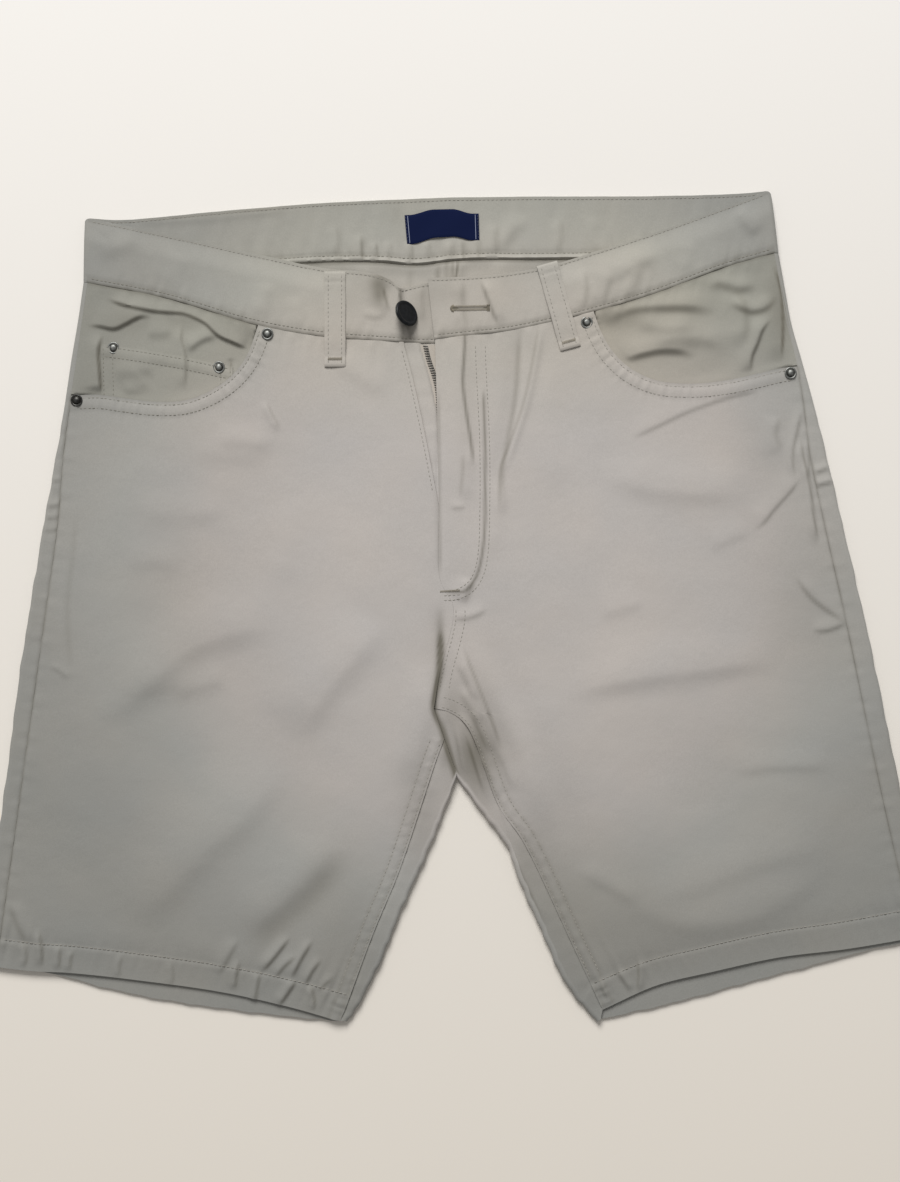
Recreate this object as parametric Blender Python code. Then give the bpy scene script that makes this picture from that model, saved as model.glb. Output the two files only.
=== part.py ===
"""Bermuda shorts of cotton twill, laid flat on their back with the fly open at the top.

The garment lies on z = 0. X runs to the wearer's left, Y towards the waistband, Z up, and the
origin is under the middle of the garment. Sizes are in millimetres and become metres in `solid`.
Each cut piece is a wall of cloth between an outer and an inner grid of points. The fronts and the
pocket facings are filled in between their four edges. Each back goes under the leg and round its
two folds, up to the side seam and the inseam, which lie a little way in on the upper side.
"""

import math
from collections import namedtuple

import bmesh
import bpy
import numpy as np

METRES = 0.001

# Cloth and layers
CLOTH = 1.2
HEM_CLOTH = 2.0
BAND_CLOTH = 2.4
LOOP_CLOTH = 1.5
LABEL_CLOTH = 1.0
GAP = 0.3
HEM_DEPTH = 18.0
HEM_STEP = 1.0
FRONT_LEVEL_HIP = 4.5
FRONT_LEVEL_LEG = 3.4
LEVEL_HIP_Y = 40.0
LEVEL_LEG_Y = -60.0
BAND_LEVEL = 4.2
SHIELD_LEVEL = CLOTH + GAP
ZIP_LEVEL = SHIELD_LEVEL + CLOTH + GAP
FACING_LEVEL = CLOTH + GAP
FACING_RISE = 2.2
FACING_SLOPE = 30.0
FACING_START = 2.0
FOLD_REACH = 3.0
LOWEST_FRONT = 2.4

# How finely each stretch is divided
HIP_ROWS = 4
FLY_ROWS = 7
SEAT_ROWS = 7
LEG_ROWS = 8
MOUTH_COLUMNS = 13
WAIST_COLUMNS = 8
UNDER_COLUMNS = 7
FLAP_COLUMNS = 2
TURN_ANGLES = np.radians(np.linspace(90, -90, 7))
ROUND_STEPS = 14

# The outer side of each leg: where the cloth folds round, and where the side seam lies
Outer = namedtuple("Outer", "height fold seam")
OUTER_RIGHT = (
    Outer(205.4, -235.9, -232.7),
    Outer(183.5, -239.0, -235.9),
    Outer(156.8, -243.5, -239.7),
    Outer(131.4, -247.3, -243.5),
    Outer(96.0, -253.2, -248.2),
    Outer(55.2, -260.6, -251.5),
    Outer(17.1, -267.0, -256.5),
    Outer(-46.3, -277.1, -265.7),
    Outer(-97.1, -283.5, -272.7),
    Outer(-170.2, -293.7, -282.9),
    Outer(-227.6, -301.9, -291.1),
)
OUTER_LEFT = (
    Outer(224.4, 203.5, 200.3),
    Outer(200.0, 207.9, 204.7),
    Outer(180.3, 211.5, 208.0),
    Outer(156.8, 218.1, 214.0),
    Outer(131.4, 225.1, 218.6),
    Outer(95.9, 234.0, 223.2),
    Outer(55.2, 243.5, 231.6),
    Outer(-21.0, 261.3, 248.6),
    Outer(-97.1, 277.1, 264.2),
    Outer(-167.6, 292.0, 279.7),
    Outer(-209.0, 301.9, 289.2),
)
POCKET_END_RIGHT = 133.5
POCKET_END_LEFT = 152.0
CROTCH_LEVEL_RIGHT = -100.0
CROTCH_LEVEL_LEFT = -88.0

# The inner side of each leg: the fold, and the inseam on the upper side
Point = namedtuple("Point", "x y")
CROTCH_APEX = Point(0.0, -107.9)
SEAM_CROSSING = Point(-14.3, -64.1)
INNER_FOLD_RIGHT = (
    CROTCH_APEX,
    Point(-14.3, -146.0),
    Point(-36.5, -195.6),
    Point(-47.9, -224.1),
    Point(-68.3, -264.1),
)
INNER_FOLD_LEFT = (
    CROTCH_APEX,
    Point(20.0, -135.2),
    Point(31.4, -150.5),
    Point(39.7, -173.3),
    Point(54.0, -205.5),
    Point(68.3, -236.8),
    Point(88.6, -262.9),
)
INSEAM_RIGHT = (
    Point(-7.7, -83.2),
    Point(-13.0, -97.1),
    Point(-21.3, -122.5),
    Point(-36.5, -167.6),
    Point(-52.4, -205.7),
    Point(-73.3, -262.2),
)
INSEAM_LEFT = (
    SEAM_CROSSING,
    Point(-5.4, -66.0),
    Point(6.0, -74.3),
    Point(27.0, -126.3),
    Point(41.6, -147.3),
    Point(74.0, -215.2),
    Point(92.4, -254.6),
)
INSEAM_SWING = 0.3

# The centre front below the open fly, and the fly's two edges above it
FLY_BOTTOM = Point(-11.1, 63.5)
CENTRE_FRONT = (
    FLY_BOTTOM,
    Point(-10.5, 17.8),
    Point(-6.7, 9.5),
    Point(-2.4, 2.0),
    Point(-2.2, -7.0),
    Point(-4.4, -18.4),
    Point(-10.5, -41.3),
    SEAM_CROSSING,
)
FLY_EDGE_RIGHT = (
    Point(-33.3, 166.0),
    Point(-27.6, 144.1),
    Point(-21.9, 118.7),
    Point(-16.8, 93.3),
    FLY_BOTTOM,
)
FLY_EDGE_LEFT = (Point(-13.0, 168.0), Point(-12.4, 125.1), FLY_BOTTOM)

# The waistband: at each place across, the height of its seam and of its top edge
Band = namedtuple("Band", "x seam top")
BAND_RIGHT = (
    Band(-236.5, 205.5, 246.3),
    Band(-183.8, 195.2, 235.6),
    Band(-126.0, 178.1, 223.0),
    Band(-83.5, 170.8, 214.0),
    Band(-52.4, 168.5, 210.2),
    Band(-40.3, 167.8, 205.1),
    Band(-36.5, 167.6, 201.2),
    Band(-26.3, 167.1, 203.2),
    Band(-8.0, 167.0, 207.0),
)
BAND_LEFT = (
    Band(-16.0, 168.9, 207.6),
    Band(8.0, 171.7, 209.5),
    Band(29.5, 174.0, 211.3),
    Band(56.0, 179.3, 214.9),
    Band(91.0, 187.9, 225.7),
    Band(126.7, 198.7, 237.4),
    Band(169.2, 214.6, 252.6),
    Band(204.0, 224.6, 265.8),
)
BAND_BACK = (
    Band(-236.5, 205.4, 246.3),
    Band(-211.7, 208.1, 245.1),
    Band(-147.6, 214.0, 250.8),
    Band(-82.2, 218.2, 255.9),
    Band(0.0, 219.7, 259.4),
    Band(56.2, 219.7, 259.9),
    Band(129.2, 221.6, 260.2),
    Band(186.3, 223.8, 262.2),
    Band(204.0, 224.5, 264.5),
)
Fold = namedtuple("Fold", "low high")
BAND_FOLD_RIGHT = Fold(-235.9, -235.2)
BAND_FOLD_LEFT = Fold(203.5, 199.0)
BUTTON_END = -11.7
BUTTONHOLE_END = -15.9
STEP_START = -37.0
STEP_END = -32.0
STEP_MARGIN = 2.0
BAND_NEAR_COLUMNS = 9
BAND_FRONT_COLUMNS = 16
BAND_BACK_COLUMNS = 16
BAND_LEFT_COLUMNS = 22

# Pocket mouths, from the side seam to the waist seam
MOUTH_RIGHT = (
    Point(-243.2, 133.5),
    Point(-225.7, 134.0),
    Point(-211.7, 132.1),
    Point(-191.4, 129.7),
    Point(-172.6, 130.2),
    Point(-160.4, 134.0),
    Point(-146.3, 142.2),
    Point(-136.2, 152.4),
    Point(-130.7, 161.9),
    Point(-125.1, 177.7),
)
MOUTH_LEFT = (
    Point(214.9, 152.0),
    Point(203.5, 150.5),
    Point(187.6, 146.7),
    Point(169.2, 142.9),
    Point(148.3, 141.0),
    Point(126.7, 142.9),
    Point(109.8, 150.5),
    Point(98.5, 161.3),
    Point(91.4, 173.3),
    Point(86.4, 186.5),
)

# Hem edges: of the front from the side seam inwards, of the back from the outer fold inwards
Hem = namedtuple("Hem", "front_x front_y back_x back_y")
HEM_RIGHT = (
    Hem(-291.1, -228.6, -298.9, -227.6),
    Hem(-268.3, -230.2, -278.4, -229.2),
    Hem(-244.8, -231.3, -254.9, -232.4),
    Hem(-202.2, -235.9, -222.5, -241.0),
    Hem(-150.2, -243.2, -187.6, -248.3),
    Hem(-105.1, -253.0, -124.8, -257.1),
    Hem(-73.3, -262.2, -68.3, -264.1),
)
HEM_LEFT = (
    Hem(289.2, -209.4, 298.9, -209.0),
    Hem(272.1, -212.1, 281.6, -212.7),
    Hem(244.8, -216.5, 258.7, -217.8),
    Hem(203.5, -221.6, 230.8, -225.4),
    Hem(162.2, -230.5, 189.5, -236.2),
    Hem(126.0, -239.4, 134.0, -251.3),
    Hem(92.4, -254.6, 88.6, -262.9),
)

# Soft ridges (height above 0) and troughs (below 0) that run across the two fronts
Crease = namedtuple("Crease", "start_x start_y end_x end_y bow width height")
CREASES = (
    Crease(48, 150, 31, 25, -7, 9, 0.9),
    Crease(92, 83, 178, 71, 4, 12, -1.1),
    Crease(186, 137, 108, 102, 5, 8, -0.8),
    Crease(222, 82, 172, 44, 6, 9, -1.0),
    Crease(216, 30, 250, -18, -6, 9, -1.0),
    Crease(68, -53, 158, -42, 5, 13, 1.1),
    Crease(92, -172, 246, -155, -22, 13, -0.9),
    Crease(6, -18, 24, -92, 4, 7, 0.9),
    Crease(22, -38, 44, -118, 5, 8, -0.8),
    Crease(-222, -76, -142, -54, 5, 13, -1.0),
    Crease(-196, -211, -128, -158, 7, 12, -0.9),
    Crease(-82, -160, -134, -222, 6, 12, -0.9),
    Crease(-84, -60, -56, -14, -5, 11, -0.9),
    Crease(-214, 92, -150, 62, 7, 14, 0.8),
    Crease(-110, 96, -92, 20, 6, 13, -0.7),
    Crease(-40, -30, -62, -112, 5, 11, 0.9),
    Crease(-12, 12, -10, -26, 2, 5, -0.6),
)
FACING_CREASES = (
    Crease(-222, 194, -146, 168, 9, 5, 1.5),
    Crease(-230, 180, -196, 186, 5, 4, 1.0),
    Crease(-174, 184, -172, 150, 0, 4, 0.9),
    Crease(120, 188, 172, 194, 4, 6, -0.7),
    Crease(104, 162, 156, 168, 4, 5, -0.6),
    Crease(190, 206, 204, 158, 2, 5, 0.9),
)
CREASE_FADE = 0.22

# Pocket facings: at each place across, the top of the coin pocket and the hidden lower edge
Facing = namedtuple("Facing", "x middle bottom")
FACING_RIGHT = (
    Facing(-244.0, 168.5, 118.0),
    Facing(-224.6, 166.3, 113.0),
    Facing(-180.0, 159.5, 109.0),
    Facing(-141.0, 151.7, 117.0),
    Facing(-116.0, 147.5, 132.0),
)
FACING_LEFT = (
    Facing(216.0, 172.0, 136.0),
    Facing(190.0, 176.0, 129.0),
    Facing(150.0, 172.0, 122.0),
    Facing(110.0, 166.0, 126.0),
    Facing(78.0, 158.0, 142.0),
)
FACING_COLUMNS_RIGHT = (-236, -230, -224.6, -214, -204, -193, -182, -171, -161, -151, -141, -132, -124, -116)
FACING_COLUMNS_LEFT = (208.5, 200, 190, 179, 168, 157, 146, 135, 124, 113, 103, 94, 86, 78)
FACING_SEAM_CLEARANCE = 0.8
FACING_CREASE_START = 6.0
FACING_CREASE_SLOPE = 10.0
FACING_ROWS = 5
COIN_FIRST_COLUMN = 2
COIN_LAST_COLUMN = 10

# Fly shield and zip tapes: left and right edges down the open fly
Strip = namedtuple("Strip", "y left right")
SHIELD = (
    Strip(166.2, -35.0, 0.0),
    Strip(120.0, -30.0, 2.0),
    Strip(60.0, -24.0, 3.0),
    Strip(24.0, -20.0, 2.0),
    Strip(12.0, -15.0, -3.0),
)
ZIP_RIGHT = (
    Strip(165.6, -31.5, -20.0),
    Strip(143.0, -28.0, -13.6),
    Strip(110.0, -27.0, -12.8),
    Strip(30.0, -24.0, -12.2),
)
ZIP_LEFT = (
    Strip(165.6, -10.4, 1.0),
    Strip(143.0, -11.8, 1.0),
    Strip(110.0, -11.4, 1.0),
    Strip(30.0, -11.4, 1.0),
)
STRIP_ROWS = 10

# Belt loops: the middle of each end, its width, and how high it stands along its length
LoopHeight = namedtuple("LoopHeight", "along level")
LOOP_WIDTH = 13.2
LOOP_RIGHT = (Point(-76.6, 212.4), Point(-76.6, 152.1))
LOOP_LEFT = (Point(57.2, 218.0), Point(72.2, 164.0))
LOOP_HEIGHTS = (
    LoopHeight(0.0, 6.95),
    LoopHeight(0.1, 7.0),
    LoopHeight(0.3, 7.5),
    LoopHeight(0.5, 7.6),
    LoopHeight(0.66, 7.2),
    LoopHeight(0.74, 6.95),
    LoopHeight(0.84, 6.3),
    LoopHeight(1.0, 6.1),
)

# Label on the inside of the back waistband: its two ends
LabelEnd = namedtuple("LabelEnd", "x top low")
LABEL_FIRST = LabelEnd(-31.6, 248.0, 230.8)
LABEL_LAST = LabelEnd(14.3, 249.6, 232.4)
LABEL_BOW = 3.2
LABEL_COLUMNS = 8

# Hardware, turned about its own axis: radius and height of each step from the base
Turn = namedtuple("Turn", "radius height")
RIVET_PROFILE = (
    Turn(0, 0),
    Turn(4.0, 0),
    Turn(4.1, 0.5),
    Turn(3.5, 1.2),
    Turn(2.0, 1.4),
    Turn(1.4, 2.1),
    Turn(0, 2.4),
)
BUTTON_PROFILE = (
    Turn(0, 0),
    Turn(3.0, 0),
    Turn(3.0, 0.8),
    Turn(2.6, 1.6),
    Turn(2.6, 3.2),
    Turn(7.6, 3.4),
    Turn(8.5, 4.0),
    Turn(8.6, 4.9),
    Turn(8.0, 5.6),
    Turn(6.6, 5.8),
    Turn(5.8, 5.4),
    Turn(0, 5.3),
)
BUTTON_PLACE = (-34.5, 185.9, 6.4)
BUTTON_TILT = math.radians(32)
BUTTON_LEAN = math.radians(23)
Rivet = namedtuple("Rivet", "x y carrier")
RIVETS = (
    Rivet(-119.3, 172.3, "front"),
    Rivet(-239.6, 130.4, "front"),
    Rivet(-216.6, 163.6, "coin pocket"),
    Rivet(-150.2, 151.6, "coin pocket"),
    Rivet(82.2, 179.6, "front"),
    Rivet(210.6, 147.6, "front"),
)

Finish = namedtuple("Finish", "colour roughness metallic")
TWILL = Finish((0.40, 0.37, 0.335), 0.85, 0.0)
TWILL_INSIDE = Finish((0.35, 0.34, 0.29), 0.88, 0.0)
ZIP_TAPE = Finish((0.46, 0.42, 0.38), 0.8, 0.0)
BLACK_ENAMEL = Finish((0.012, 0.013, 0.016), 0.35, 0.6)
NICKEL = Finish((0.42, 0.42, 0.42), 0.35, 1.0)
NAVY_WEAVE = Finish((0.012, 0.018, 0.05), 0.75, 0.0)


# ---------------------------------------------------------------- lines and patches


def pick(table, across, up):
    """Two of a table's columns, as points."""
    return [Point(getattr(row, across), getattr(row, up)) for row in table]


def smooth(points, steps=24):
    """A smooth line through a few points: a cubic between each two, on chord-length spacing."""
    p = np.asarray(points, float)
    p = np.vstack([2 * p[0] - p[1], p, 2 * p[-1] - p[-2]])
    knots = np.concatenate([[0], np.cumsum(np.linalg.norm(np.diff(p, axis=0), axis=1) ** 0.5)])
    pieces = []
    for i in range(1, len(p) - 2):
        t0, t1, t2, t3 = knots[i - 1 : i + 3]
        t = np.linspace(t1, t2, steps, endpoint=False)[:, None]
        a1 = (t1 - t) / (t1 - t0) * p[i - 1] + (t - t0) / (t1 - t0) * p[i]
        a2 = (t2 - t) / (t2 - t1) * p[i] + (t - t1) / (t2 - t1) * p[i + 1]
        a3 = (t3 - t) / (t3 - t2) * p[i + 1] + (t - t2) / (t3 - t2) * p[i + 2]
        b1 = (t2 - t) / (t2 - t0) * a1 + (t - t0) / (t2 - t0) * a2
        b2 = (t3 - t) / (t3 - t1) * a2 + (t - t1) / (t3 - t1) * a3
        pieces.append((t2 - t) / (t2 - t1) * b1 + (t - t1) / (t2 - t1) * b2)
    return np.vstack(pieces + [p[-2:-1]])


def at_fractions(line, fractions):
    """Points at the given fractions of a line's length."""
    run = np.concatenate([[0], np.cumsum(np.linalg.norm(np.diff(line, axis=0), axis=1))])
    wanted = np.asarray(fractions) * run[-1]
    return np.column_stack([np.interp(wanted, run, line[:, 0]), np.interp(wanted, run, line[:, 1])])


def evenly(points, count):
    """`count` stretches of equal length along the smooth line through a few points."""
    return at_fractions(smooth(points), np.linspace(0, 1, count + 1))


def at_x(points, x):
    """Points of a smooth line at the given places across."""
    line = smooth(points)
    line = line[np.argsort(line[:, 0])]
    return np.column_stack([x, np.interp(x, line[:, 0], line[:, 1])])


def straight(start, end, count):
    """`count` equal stretches from one point to another."""
    share = np.linspace(0, 1, count + 1)[:, None]
    return np.asarray(start, float) * (1 - share) + np.asarray(end, float) * share


def patch(top, bottom, near, far):
    """A Coons patch: top and bottom run the same way, near and far join their ends."""
    u = np.linspace(0, 1, len(top))[None, :, None]
    v = np.linspace(0, 1, len(near))[:, None, None]
    across = (1 - u) * near[:, None] + u * far[:, None]
    down = (1 - v) * top[None] + v * bottom[None]
    corners = (1 - v) * ((1 - u) * top[0] + u * top[-1]) + v * ((1 - u) * bottom[0] + u * bottom[-1])
    return across + down - corners


def ramp(value):
    """0 below 0, 1 above 1, and a smooth rise between."""
    share = np.clip(value, 0, 1)
    return share * share * (3 - 2 * share)


# ---------------------------------------------------------------- heights


def relief(xy, creases):
    """Sum of soft ridges and troughs, each a bell across a bowed line, fading out at both ends."""
    height = np.zeros(xy.shape[:-1])
    for crease in creases:
        start = np.array([crease.start_x, crease.start_y])
        run = np.array([crease.end_x, crease.end_y]) - start
        length = np.linalg.norm(run)
        along = (xy - start) @ run / length**2
        across = (xy - start) @ np.array([-run[1], run[0]]) / length
        inside = np.clip(along, 0, 1)
        across = across - crease.bow * 4 * inside * (1 - inside)
        fade = ramp(along / CREASE_FADE) * ramp((1 - along) / CREASE_FADE)
        height += crease.height * np.exp(-((across / crease.width) ** 2)) * fade
    return height


def front_level(xy):
    """Underside of the upper layer of the garment."""
    hip = ramp((xy[..., 1] - LEVEL_LEG_Y) / (LEVEL_HIP_Y - LEVEL_LEG_Y))
    level = FRONT_LEVEL_LEG + (FRONT_LEVEL_HIP - FRONT_LEVEL_LEG) * hip + relief(xy, CREASES)
    return np.maximum(level, LOWEST_FRONT)


def facing_level(xy, mouth):
    """Underside of a pocket facing: low under the front, rising inside the open mouth."""
    edge = smooth(mouth)
    away = np.linalg.norm(xy[..., None, :] - edge, axis=-1).min(-1)
    order = np.argsort(edge[:, 0])
    above = xy[..., 1] > np.interp(xy[..., 0], edge[order, 0], edge[order, 1])
    inward = np.abs(xy[..., 0]) > np.abs(edge[:, 0]).min()
    depth = np.where(above & inward, away, 0)
    rise = ramp((depth - FACING_START) / FACING_SLOPE)
    creased = ramp((depth - FACING_CREASE_START) / FACING_CREASE_SLOPE)
    return FACING_LEVEL + FACING_RISE * rise + relief(xy, FACING_CREASES) * creased


def raised(xy, level):
    """Points on the ground plan lifted to a level."""
    return np.concatenate([xy, np.broadcast_to(np.asarray(level, float), xy.shape[:-1])[..., None]], -1)


# ---------------------------------------------------------------- solids


def finish_material(name, finish):
    material = bpy.data.materials.new(name)
    material.use_nodes = True
    shader = material.node_tree.nodes["Principled BSDF"]
    shader.inputs["Base Color"].default_value = (*finish.colour, 1)
    shader.inputs["Roughness"].default_value = finish.roughness
    shader.inputs["Metallic"].default_value = finish.metallic
    return material


def solid(name, bm, finish):
    """One closed mesh, in metres, as a named object with its own material."""
    bmesh.ops.recalc_face_normals(bm, faces=bm.faces)
    bmesh.ops.scale(bm, vec=(METRES, METRES, METRES), verts=bm.verts)
    mesh = bpy.data.meshes.new(name)
    bm.to_mesh(mesh)
    bm.free()
    mesh.shade_smooth()
    mesh.set_sharp_from_angle(angle=math.radians(40))
    mesh.materials.append(finish_material(name, finish))
    obj = bpy.data.objects.new(name, mesh)
    bpy.context.scene.collection.objects.link(obj)
    return obj


def wall(name, upper, lower, finish, cells=None):
    """Two facing grids of points closed into one wall, with a rim along every free edge."""
    if cells is None:
        cells = np.ones((upper.shape[0] - 1, upper.shape[1] - 1), bool)
    bm = bmesh.new()
    corners = {}

    def corner(side, grid, place):
        if (side, place) not in corners:
            corners[side, place] = bm.verts.new(grid[place])
        return corners[side, place]

    sides = {}
    for row, column in np.argwhere(cells):
        ring = [(row, column), (row, column + 1), (row + 1, column + 1), (row + 1, column)]
        for half in (ring[:3], ring[2:] + ring[:1]):
            bm.faces.new([corner("upper", upper, place) for place in half])
            bm.faces.new([corner("lower", lower, place) for place in reversed(half)])
        for side in zip(ring, ring[1:] + ring[:1]):
            sides.setdefault(frozenset(side), []).append(side)
    for found in sides.values():
        if len(found) == 1:
            (start, end) = found[0]
            bm.faces.new(
                [
                    corner("upper", upper, end),
                    corner("upper", upper, start),
                    corner("lower", lower, start),
                    corner("lower", lower, end),
                ]
            )
    return solid(name, bm, finish)


def turned(name, profile, finish):
    """A profile spun about its axis."""
    bm = bmesh.new()
    points = [bm.verts.new((step.radius, 0, step.height)) for step in profile]
    edges = [bm.edges.new(pair) for pair in zip(points, points[1:])]
    bmesh.ops.spin(
        bm, geom=points + edges, cent=(0, 0, 0), axis=(0, 0, 1), angle=2 * math.pi, steps=ROUND_STEPS
    )
    bmesh.ops.remove_doubles(bm, verts=bm.verts, dist=0.001)
    return solid(name, bm, finish)


# ---------------------------------------------------------------- the legs


def turn(top_centre, under_centre, outward, top, cloth, angles):
    """Cloth going round a fold: half an ellipse from the top layer to the ground, row by row."""
    sine = np.sin(angles)[None, :, None]
    cosine = np.cos(angles)[None, :, None]
    centre = under_centre[:, None] + (top_centre - under_centre)[:, None] * (1 + sine) / 2
    half = (top / 2)[:, None]
    thick = cloth[:, None]
    outer_xy = centre + outward[:, None] * FOLD_REACH * cosine
    inner_xy = centre + outward[:, None] * (FOLD_REACH - thick[..., None]) * cosine
    outer = raised(outer_xy, half + half * sine[..., 0])
    inner = raised(inner_xy, half + (half - thick) * sine[..., 0])
    return outer, inner


def leg_fractions(length):
    """Even rows down to the hem stitching, then a short step, then the hem's edge."""
    hem = HEM_DEPTH / length
    step = (HEM_DEPTH - HEM_STEP) / length
    return np.concatenate([np.linspace(0, 1 - hem, LEG_ROWS + 1), [1 - step, 1]])


def line_length(points):
    return np.linalg.norm(np.diff(smooth(points), axis=0), axis=1).sum()


class Leg:
    """Everything that the front and the back of one leg share, as lines of points row by row."""

    def __init__(self, side, outer, pocket_end, crotch_level, inner_fold, inseam, extra_rows):
        self.side = side
        hip = np.linspace(outer[0].height, pocket_end, HIP_ROWS + 1)
        seat_rows = FLY_ROWS + SEAT_ROWS + extra_rows
        seat = np.linspace(pocket_end, crotch_level, seat_rows + 1)
        hem = outer[-1].height
        leg = crotch_level + (hem - crotch_level) * leg_fractions(crotch_level - hem)
        self.heights = np.concatenate([hip, seat[1:], leg[1:]])
        self.crotch_row = HIP_ROWS + seat_rows
        table = np.array(outer)
        fold = smooth(table[:, [1, 0]])
        seam = smooth(table[:, [2, 0]])
        self.fold = np.column_stack([self.on(fold), self.heights])
        self.seam = np.column_stack([self.on(seam), self.heights])
        inseam_length = line_length(inseam)
        self.inseam = at_fractions(smooth(inseam), leg_fractions(inseam_length))
        self.inner_fold = at_fractions(smooth(inner_fold), leg_fractions(line_length(inner_fold)))
        self.cloth = np.full(len(self.heights), CLOTH)
        self.cloth[-2:] = HEM_CLOTH

    def on(self, line):
        """How far out a line is at each row's height."""
        return np.interp(-self.heights, -line[:, 1], line[:, 0])

    def inner_outward(self):
        """Directions out of the inner fold: straight down at the crotch, then square to the fold."""
        run = np.gradient(self.inner_fold, axis=0)
        square = np.column_stack([run[:, 1], -run[:, 0]]) * self.side
        angle = np.arctan2(square[:, 1], square[:, 0])
        start = -math.pi / 2
        share = ramp(np.linspace(0, 1, len(angle)) / INSEAM_SWING)
        difference = (angle - start + math.pi) % (2 * math.pi) - math.pi
        angle = start + difference * share
        return np.column_stack([np.cos(angle), np.sin(angle)])


def make_back(name, leg, band_front, hem):
    """One back panel: upper flap to the side seam, round the outer fold, along the ground, and
    below the crotch round the inner fold to the inseam."""
    side = leg.side
    rows = len(leg.heights)
    crotch = leg.crotch_row
    outward = np.tile([side * 1.0, 0.0], (rows, 1))
    centre = leg.fold - outward * FOLD_REACH
    top_centre = centre.copy()
    under_centre = centre.copy()
    waist_back = pick(BAND_BACK, "x", "seam")
    top_centre[0] = at_x(pick(band_front, "x", "seam"), centre[:1, 0])[0] - (0, GAP / 2)
    under_centre[0] = at_x(waist_back, centre[:1, 0])[0] - (0, GAP / 2)
    seam = leg.seam + outward * GAP / 2
    seam[:, 0] = side * np.minimum(np.abs(seam[:, 0]), np.abs(top_centre[:, 0]) - GAP)
    seam[0, 1] = top_centre[0, 1]
    flap = np.stack([straight(s, c, FLAP_COLUMNS) for s, c in zip(seam, top_centre)])
    flap_level = front_level(flap)
    turn_out, turn_in = turn(
        top_centre, under_centre, outward, flap_level[:, -1] + leg.cloth, leg.cloth, TURN_ANGLES
    )

    inner_outward = leg.inner_outward()
    inner_fold = leg.inner_fold.copy()
    inner_fold[0, 0] = side * GAP / 2
    inner_centre = inner_fold - inner_outward * FOLD_REACH
    waist_x = np.linspace(under_centre[0, 0], side * GAP / 2, UNDER_COLUMNS + 1)
    waist_line = at_x(waist_back, waist_x) - (0, GAP / 2)
    crotch_line = straight(under_centre[crotch], inner_centre[0], UNDER_COLUMNS)
    centre_back = straight(waist_line[-1], inner_centre[0], crotch)
    hem_middle = pick(hem, "back_x", "back_y")[1:-1]
    hem_points = (tuple(under_centre[-1]), *hem_middle, tuple(inner_centre[-1]))
    hem_line = evenly(hem_points, UNDER_COLUMNS)
    seat = patch(waist_line, crotch_line, under_centre[: crotch + 1], centre_back)
    lower = patch(crotch_line, hem_line, under_centre[crotch:], inner_centre)
    under = np.vstack([seat, lower[1:]])

    inseam = leg.inseam + inner_outward * GAP / 2
    inseam[0] = leg.inseam[0] + (side * GAP / 2, -GAP)
    inner_flap = np.stack([straight(c, s, FLAP_COLUMNS) for c, s in zip(inner_centre, inseam)])
    inner_level = front_level(inner_flap)
    leg_cloth = leg.cloth[crotch:]
    inner_out, inner_in = turn(
        inner_centre, inner_centre, inner_outward, inner_level[:, 0] + leg_cloth, leg_cloth, -TURN_ANGLES
    )

    thick = leg.cloth[:, None]
    filler = np.zeros((crotch, len(TURN_ANGLES) - 1 + FLAP_COLUMNS, 3))
    upper_side = np.concatenate([raised(flap, flap_level + thick)[:, :-1], turn_out], 1)
    lower_side = np.concatenate([raised(flap, flap_level)[:, :-1], turn_in], 1)
    leg_thick = leg_cloth[:, None]
    inner_upper = np.concatenate([inner_out[:, 1:], raised(inner_flap, inner_level + leg_thick)[:, 1:]], 1)
    inner_lower = np.concatenate([inner_in[:, 1:], raised(inner_flap, inner_level)[:, 1:]], 1)
    outer = np.concatenate([upper_side, raised(under, 0)[:, 1:], np.vstack([filler, inner_upper])], 1)
    inner = np.concatenate([lower_side, raised(under, thick)[:, 1:], np.vstack([filler, inner_lower])], 1)
    cells = np.ones((rows - 1, outer.shape[1] - 1), bool)
    cells[:crotch, outer.shape[1] - filler.shape[1] - 1 :] = False
    return wall(name, outer, inner, TWILL, cells)


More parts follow.
